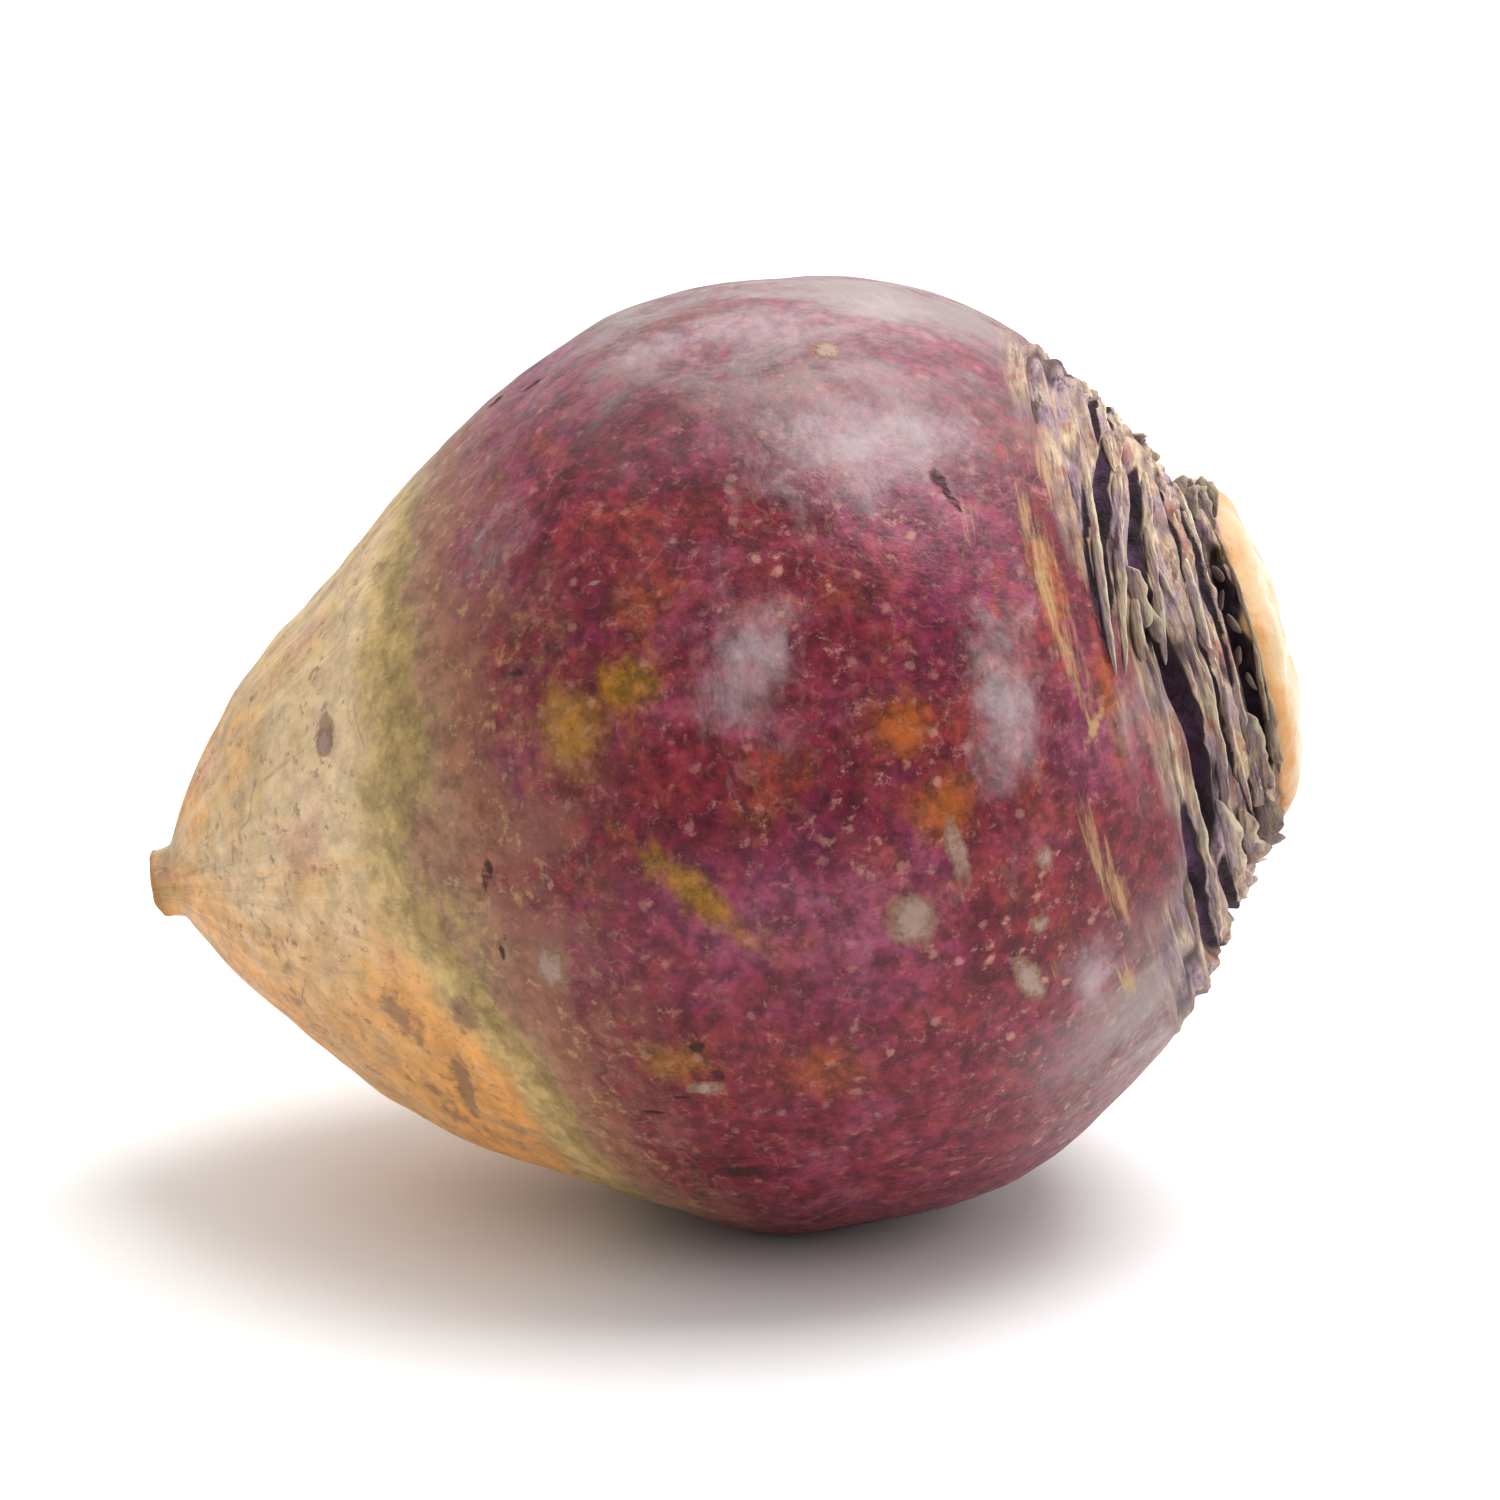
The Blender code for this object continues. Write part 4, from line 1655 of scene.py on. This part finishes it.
# Each blade: along mm, around degrees, arc degrees, height mm, lean mm, bow mm, stand degrees,
# curl mm, thickness mm, raggedness, shade
OWN_BASES = (
    LeafBase(59.1, 52, 3.0, 0.8, 0.3, 0.0, 80, 0.0, 0.8, 0.9, 0.75),
    LeafBase(58.7, 61, 3.2, 0.7, -0.3, 0.0, 85, 0.0, 0.9, 0.9, 0.85),
    LeafBase(59.3, 69, 3.4, 0.8, 0.4, 0.0, 80, 0.0, 0.7, 0.9, 0.70),
    LeafBase(58.9, 79, 2.8, 0.6, -0.3, 0.0, 85, 0.0, 0.8, 0.9, 0.85),
    LeafBase(59.6, 88, 3.2, 0.7, 0.3, 0.0, 80, 0.0, 0.7, 0.9, 0.75),
    LeafBase(60.5, 90, 14, 0.9, -0.2, 0.0, 70, 0.3, 0.7, 0.6, 0.20),
    LeafBase(50.0, 63, 6, 1.2, 0.3, 0.0, 65, 0.4, 1.3, 0.9, 0.35),
    LeafBase(50.7, 67, 5, 1.0, 0.5, 0.0, 75, 0.2, 1.1, 0.9, 0.45),
    LeafBase(49.5, 69, 6, 0.9, -0.3, 0.0, 70, 0.2, 0.9, 0.9, 0.30),
    LeafBase(60.7, 16, 13, 1.5, 0.3, 0.0, 45, 0.5, 0.7, 0.8, 0.35),
    LeafBase(59.8, 22, 15, 1.3, 0.2, 0.0, 55, 0.4, 0.6, 0.9, 0.30),
    LeafBase(58.6, 14, 16, 1.1, 0.2, 0.0, 55, 0.3, 0.5, 0.9, 0.45),
    LeafBase(60.2, 106, 12, 1.9, -0.4, 0.4, 60, 1.1, 0.6, 0.5, 0.10),
    LeafBase(58.3, 112, 16, 1.7, 0.4, 0.2, 55, 0.8, 0.6, 0.5, 0.15),
    LeafBase(57.2, 146, 17, 2.2, -0.4, 0.5, 60, 1.2, 0.8, 0.6, 0.60),
    LeafBase(55.6, 138, 20, 1.8, 0.5, 0.2, 50, 0.8, 0.6, 0.5, 0.20),
    LeafBase(53.6, 130, 22, 1.5, 0.6, 0.2, 45, 0.5, 0.6, 0.5, 0.10),
    LeafBase(60.4, 250, 24, 2.0, 0.3, 0.0, 55, 0.9, 0.6, 0.6, 0.20),
    LeafBase(57.6, 215, 24, 1.9, 0.4, 0.0, 50, 0.7, 0.6, 0.6, 0.30),
    LeafBase(55.2, 330, 26, 1.9, -0.4, 0.0, 50, 0.7, 0.6, 0.6, 0.20),
)


@dataclass(frozen=True)
class LeafBaseFinish:
    """Dry leaf bases: fibres along the blade, painted shade at the foot and pale on the free edge."""

    fibre: ScarFibre = ScarFibre()
    edge: Colour = (0.860, 0.730, 0.500)
    grey: Colour = (0.300, 0.290, 0.230)
    specular: float = 0.25
    bump_depth: float = 0.0007

    def dressed(self) -> bpy.types.Material:
        """Builds the material.

        Returns:
            A material that follows each blade's own height and shade.
        """
        web = FinishWeb("leaf_base_finish")
        place = web.object_place()
        made = self.fibre.colour(web, place)
        tint = web.noise(place, 260, 3, 0.6)
        made = web.mix(web.span(tint, 0.52, 0.64, 0.0, 0.6), made, self.grey)
        height = web.number("height")
        # Paler towards each blade's free edge.
        toward_free_edge = web.plus(height, web.sway(tint, 1.2))
        made = web.mix(web.span(toward_free_edge, 0.72, 1.05, 0.0, 0.75), made, self.edge)
        # Painted shade at each blade's foot, where it meets the skin.
        made = web.mix(web.span(height, 0.42, 0.10, 0.0, 0.85), made, self.fibre.recess_shade)
        made = web.mix(web.number("shade"), made, self.fibre.dark)
        return web.dress(
            Base_Color=made,
            Roughness=web.span(tint, 0.3, 0.7, 0.62, 0.86),
            Specular_IOR_Level=self.specular,
            Normal=web.bump(web.noise(web.grown(9.0), 160, 5, 0.65), self.bump_depth),
        )


@dataclass
class LeafBases:
    """All the leaf bases: one on the crown side of each groove, and a few that stand by themselves."""

    form: SwedeForm
    finish: LeafBaseFinish = field(default_factory=LeafBaseFinish)
    noise: LatticeNoise = field(default_factory=lambda: LatticeNoise(23))

    def blades(self) -> list[LeafBase]:
        """A blade on the crown side of each groove, then the ones that stand on their own.

        Returns:
            The blades. A deeper groove has a taller and steeper one beside it.
        """
        beside = [
            LeafBase(
                groove.along + 1.25 * groove.width,
                groove.around,
                groove.arc * 1.02,
                0.30 + 0.40 * groove.depth,
                groove.lean,
                groove.bow,
                66.0 + 6.0 * groove.depth,
                -0.10 * groove.depth,
            )
            for groove in GROOVES
        ]
        return beside + list(OWN_BASES)

    def build(self) -> bpy.types.Object:
        """Makes one piece of all the blades.

        Returns:
            The dressed piece.
        """
        blades = self.blades()
        shells, heights, places = zip(*(blade.shell(self.form, self.noise) for blade in blades))
        piece = mesh_from_shells("leaf_bases", shells)
        ends = (0.5, 0.5)
        paint(piece, "height", np.concatenate([np.append(high.ravel(), ends) for high in heights]))
        points = [high.size + len(ends) for high in heights]
        paint(piece, "shade", np.repeat([blade.shade for blade in blades], points))
        growth = [part for grown in places for part in (grown.reshape(-1, 3), grown[[0, -1], 0])]
        paint(piece, "growth", np.concatenate(growth))
        piece.data.materials.append(self.finish.dressed())
        return piece


# ---------------------------------------------------------------- studio


@dataclass
class Studio:
    """A plain pale floor, soft light all round and a camera from the front."""

    floor_side: float = 12.0
    glow_from: float = 0.35
    glow_to: float = 1.3
    glow: float = 0.45
    floor_colour: Colour = (0.93, 0.93, 0.93)
    floor_roughness: float = 0.8
    sky_low: float = 0.16
    sky_high: float = 0.92
    sky_behind: float = 0.45
    sky_span: tuple[float, float] = (-0.35, 0.75)
    azimuth: float = math.radians(4.0)
    elevation: float = math.radians(14.0)
    distance: float = 0.600
    lens: float = 115.0
    aim_offset: tuple[float, float, float] = (0.0044, -0.0013, -0.0005)
    lit_point: Vector = field(default_factory=lambda: Vector((0, 0, 0.06)))

    def floor(self) -> None:
        """A wide square at the swede's foot, which glows a little far off to meet the backdrop."""
        half = self.floor_side / 2
        mesh = bpy.data.meshes.new("floor")
        corners = [(-half, -half, 0), (half, -half, 0), (half, half, 0), (-half, half, 0)]
        mesh.from_pydata(corners, [], [(0, 1, 2, 3)])
        web = FinishWeb("studio_floor")
        reach = web.node("VectorMath", {0: web.object_place()}, operation="LENGTH").outputs["Value"]
        finish = web.dress(
            Base_Color=self.floor_colour,
            Roughness=self.floor_roughness,
            Emission_Color=WHITE,
            Emission_Strength=web.span(reach, self.glow_from, self.glow_to, 0.0, self.glow),
        )
        mesh.materials.append(finish)
        in_scene("floor", mesh)

    def lamp(self, name: str, place: Vector, side: float, watts: float, colour: Colour) -> None:
        """A square soft lamp that faces the swede.

        Args:
            name: name of the lamp.
            place: where it stands.
            side: length of its side.
            watts: its power.
            colour: its tint.
        """
        data = bpy.data.lights.new(name, "AREA")
        data.size = side
        data.energy = watts
        data.color = colour
        lamp = in_scene(name, data)
        lamp.location = place
        lamp.rotation_euler = (self.lit_point - place).to_track_quat("-Z", "Y").to_euler()

    def sky_light(self) -> None:
        """A soft sky, brighter overhead and behind than low in front, on a plain white backdrop.

        Its strength runs smoothly from sky_low to sky_high with height plus a share of the
        distance behind, and whatever sees the backdrop directly sees plain white.
        """
        world = bpy.data.worlds.new("studio_sky")
        world.use_nodes = True
        web = NodeWeb(world.node_tree)
        split = web.node("SeparateXYZ", {0: web.node("TexCoord").outputs["Generated"]})
        inputs = {0: split.outputs["Y"], 1: self.sky_behind, 2: split.outputs["Z"]}
        lift = web.node("Math", inputs, operation="MULTIPLY_ADD").outputs[0]
        strength = web.span(lift, *self.sky_span, self.sky_low, self.sky_high)
        sky = web.tree.nodes["Background"]
        web.feed(sky.inputs["Strength"], strength)
        web.feed(sky.inputs["Color"], WHITE)
        backdrop = web.node("Background", {"Color": WHITE})
        seen = web.node("LightPath").outputs["Is Camera Ray"]
        either = web.node("MixShader", {0: seen, 1: sky.outputs[0], 2: backdrop.outputs[0]})
        web.feed(web.tree.nodes["World Output"].inputs["Surface"], either.outputs[0])
        bpy.context.scene.world = world

    def camera(self) -> None:
        """The camera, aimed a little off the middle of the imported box."""
        low, high = (Vector(corner) for corner in CAD_BOX)
        aim = (low + high) / 2 + Vector(self.aim_offset)
        level = math.cos(self.elevation)
        side = math.sin(self.azimuth) * level
        back = Vector((side, -math.cos(self.azimuth) * level, math.sin(self.elevation)))
        data = bpy.data.cameras.new("camera")
        data.lens = self.lens
        data.sensor_width = 36.0
        data.clip_start = 0.01
        made = in_scene("camera", data)
        made.location = aim + back * self.distance
        made.rotation_euler = (-back).to_track_quat("-Z", "Y").to_euler()
        bpy.context.scene.camera = made

    def build(self) -> None:
        """Makes the floor, the lights and the camera, and keeps colours plain."""
        self.floor()
        self.sky_light()
        self.lamp("overhead", Vector((0.35, 0.10, 1.05)), 0.75, 12.0, (1.0, 0.99, 0.98))
        self.lamp("right", Vector((1.0, -0.15, 0.45)), 0.8, 2.0, (0.94, 0.97, 1.0))
        self.camera()
        bpy.context.scene.view_settings.view_transform = "Standard"
        bpy.context.scene.view_settings.look = "None"


# ---------------------------------------------------------------- main


def attach(piece: bpy.types.Object) -> None:
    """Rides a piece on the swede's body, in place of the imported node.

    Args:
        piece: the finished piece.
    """
    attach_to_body(piece, BODY)
    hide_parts(NODE)
    piece.data.calc_loop_triangles()
    log.info("%s: %d triangles", piece.name, len(piece.data.loop_triangles))


def main() -> None:
    """Builds the swede and its studio."""
    logging.basicConfig(level=logging.INFO, format="%(name)s %(message)s")
    grid = SkinGrid(SwedeForm())
    attach(SwedeSkin(grid).build())
    attach(LeafBases(grid.form).build())
    Studio().build()


if __name__ == "__main__":
    main()
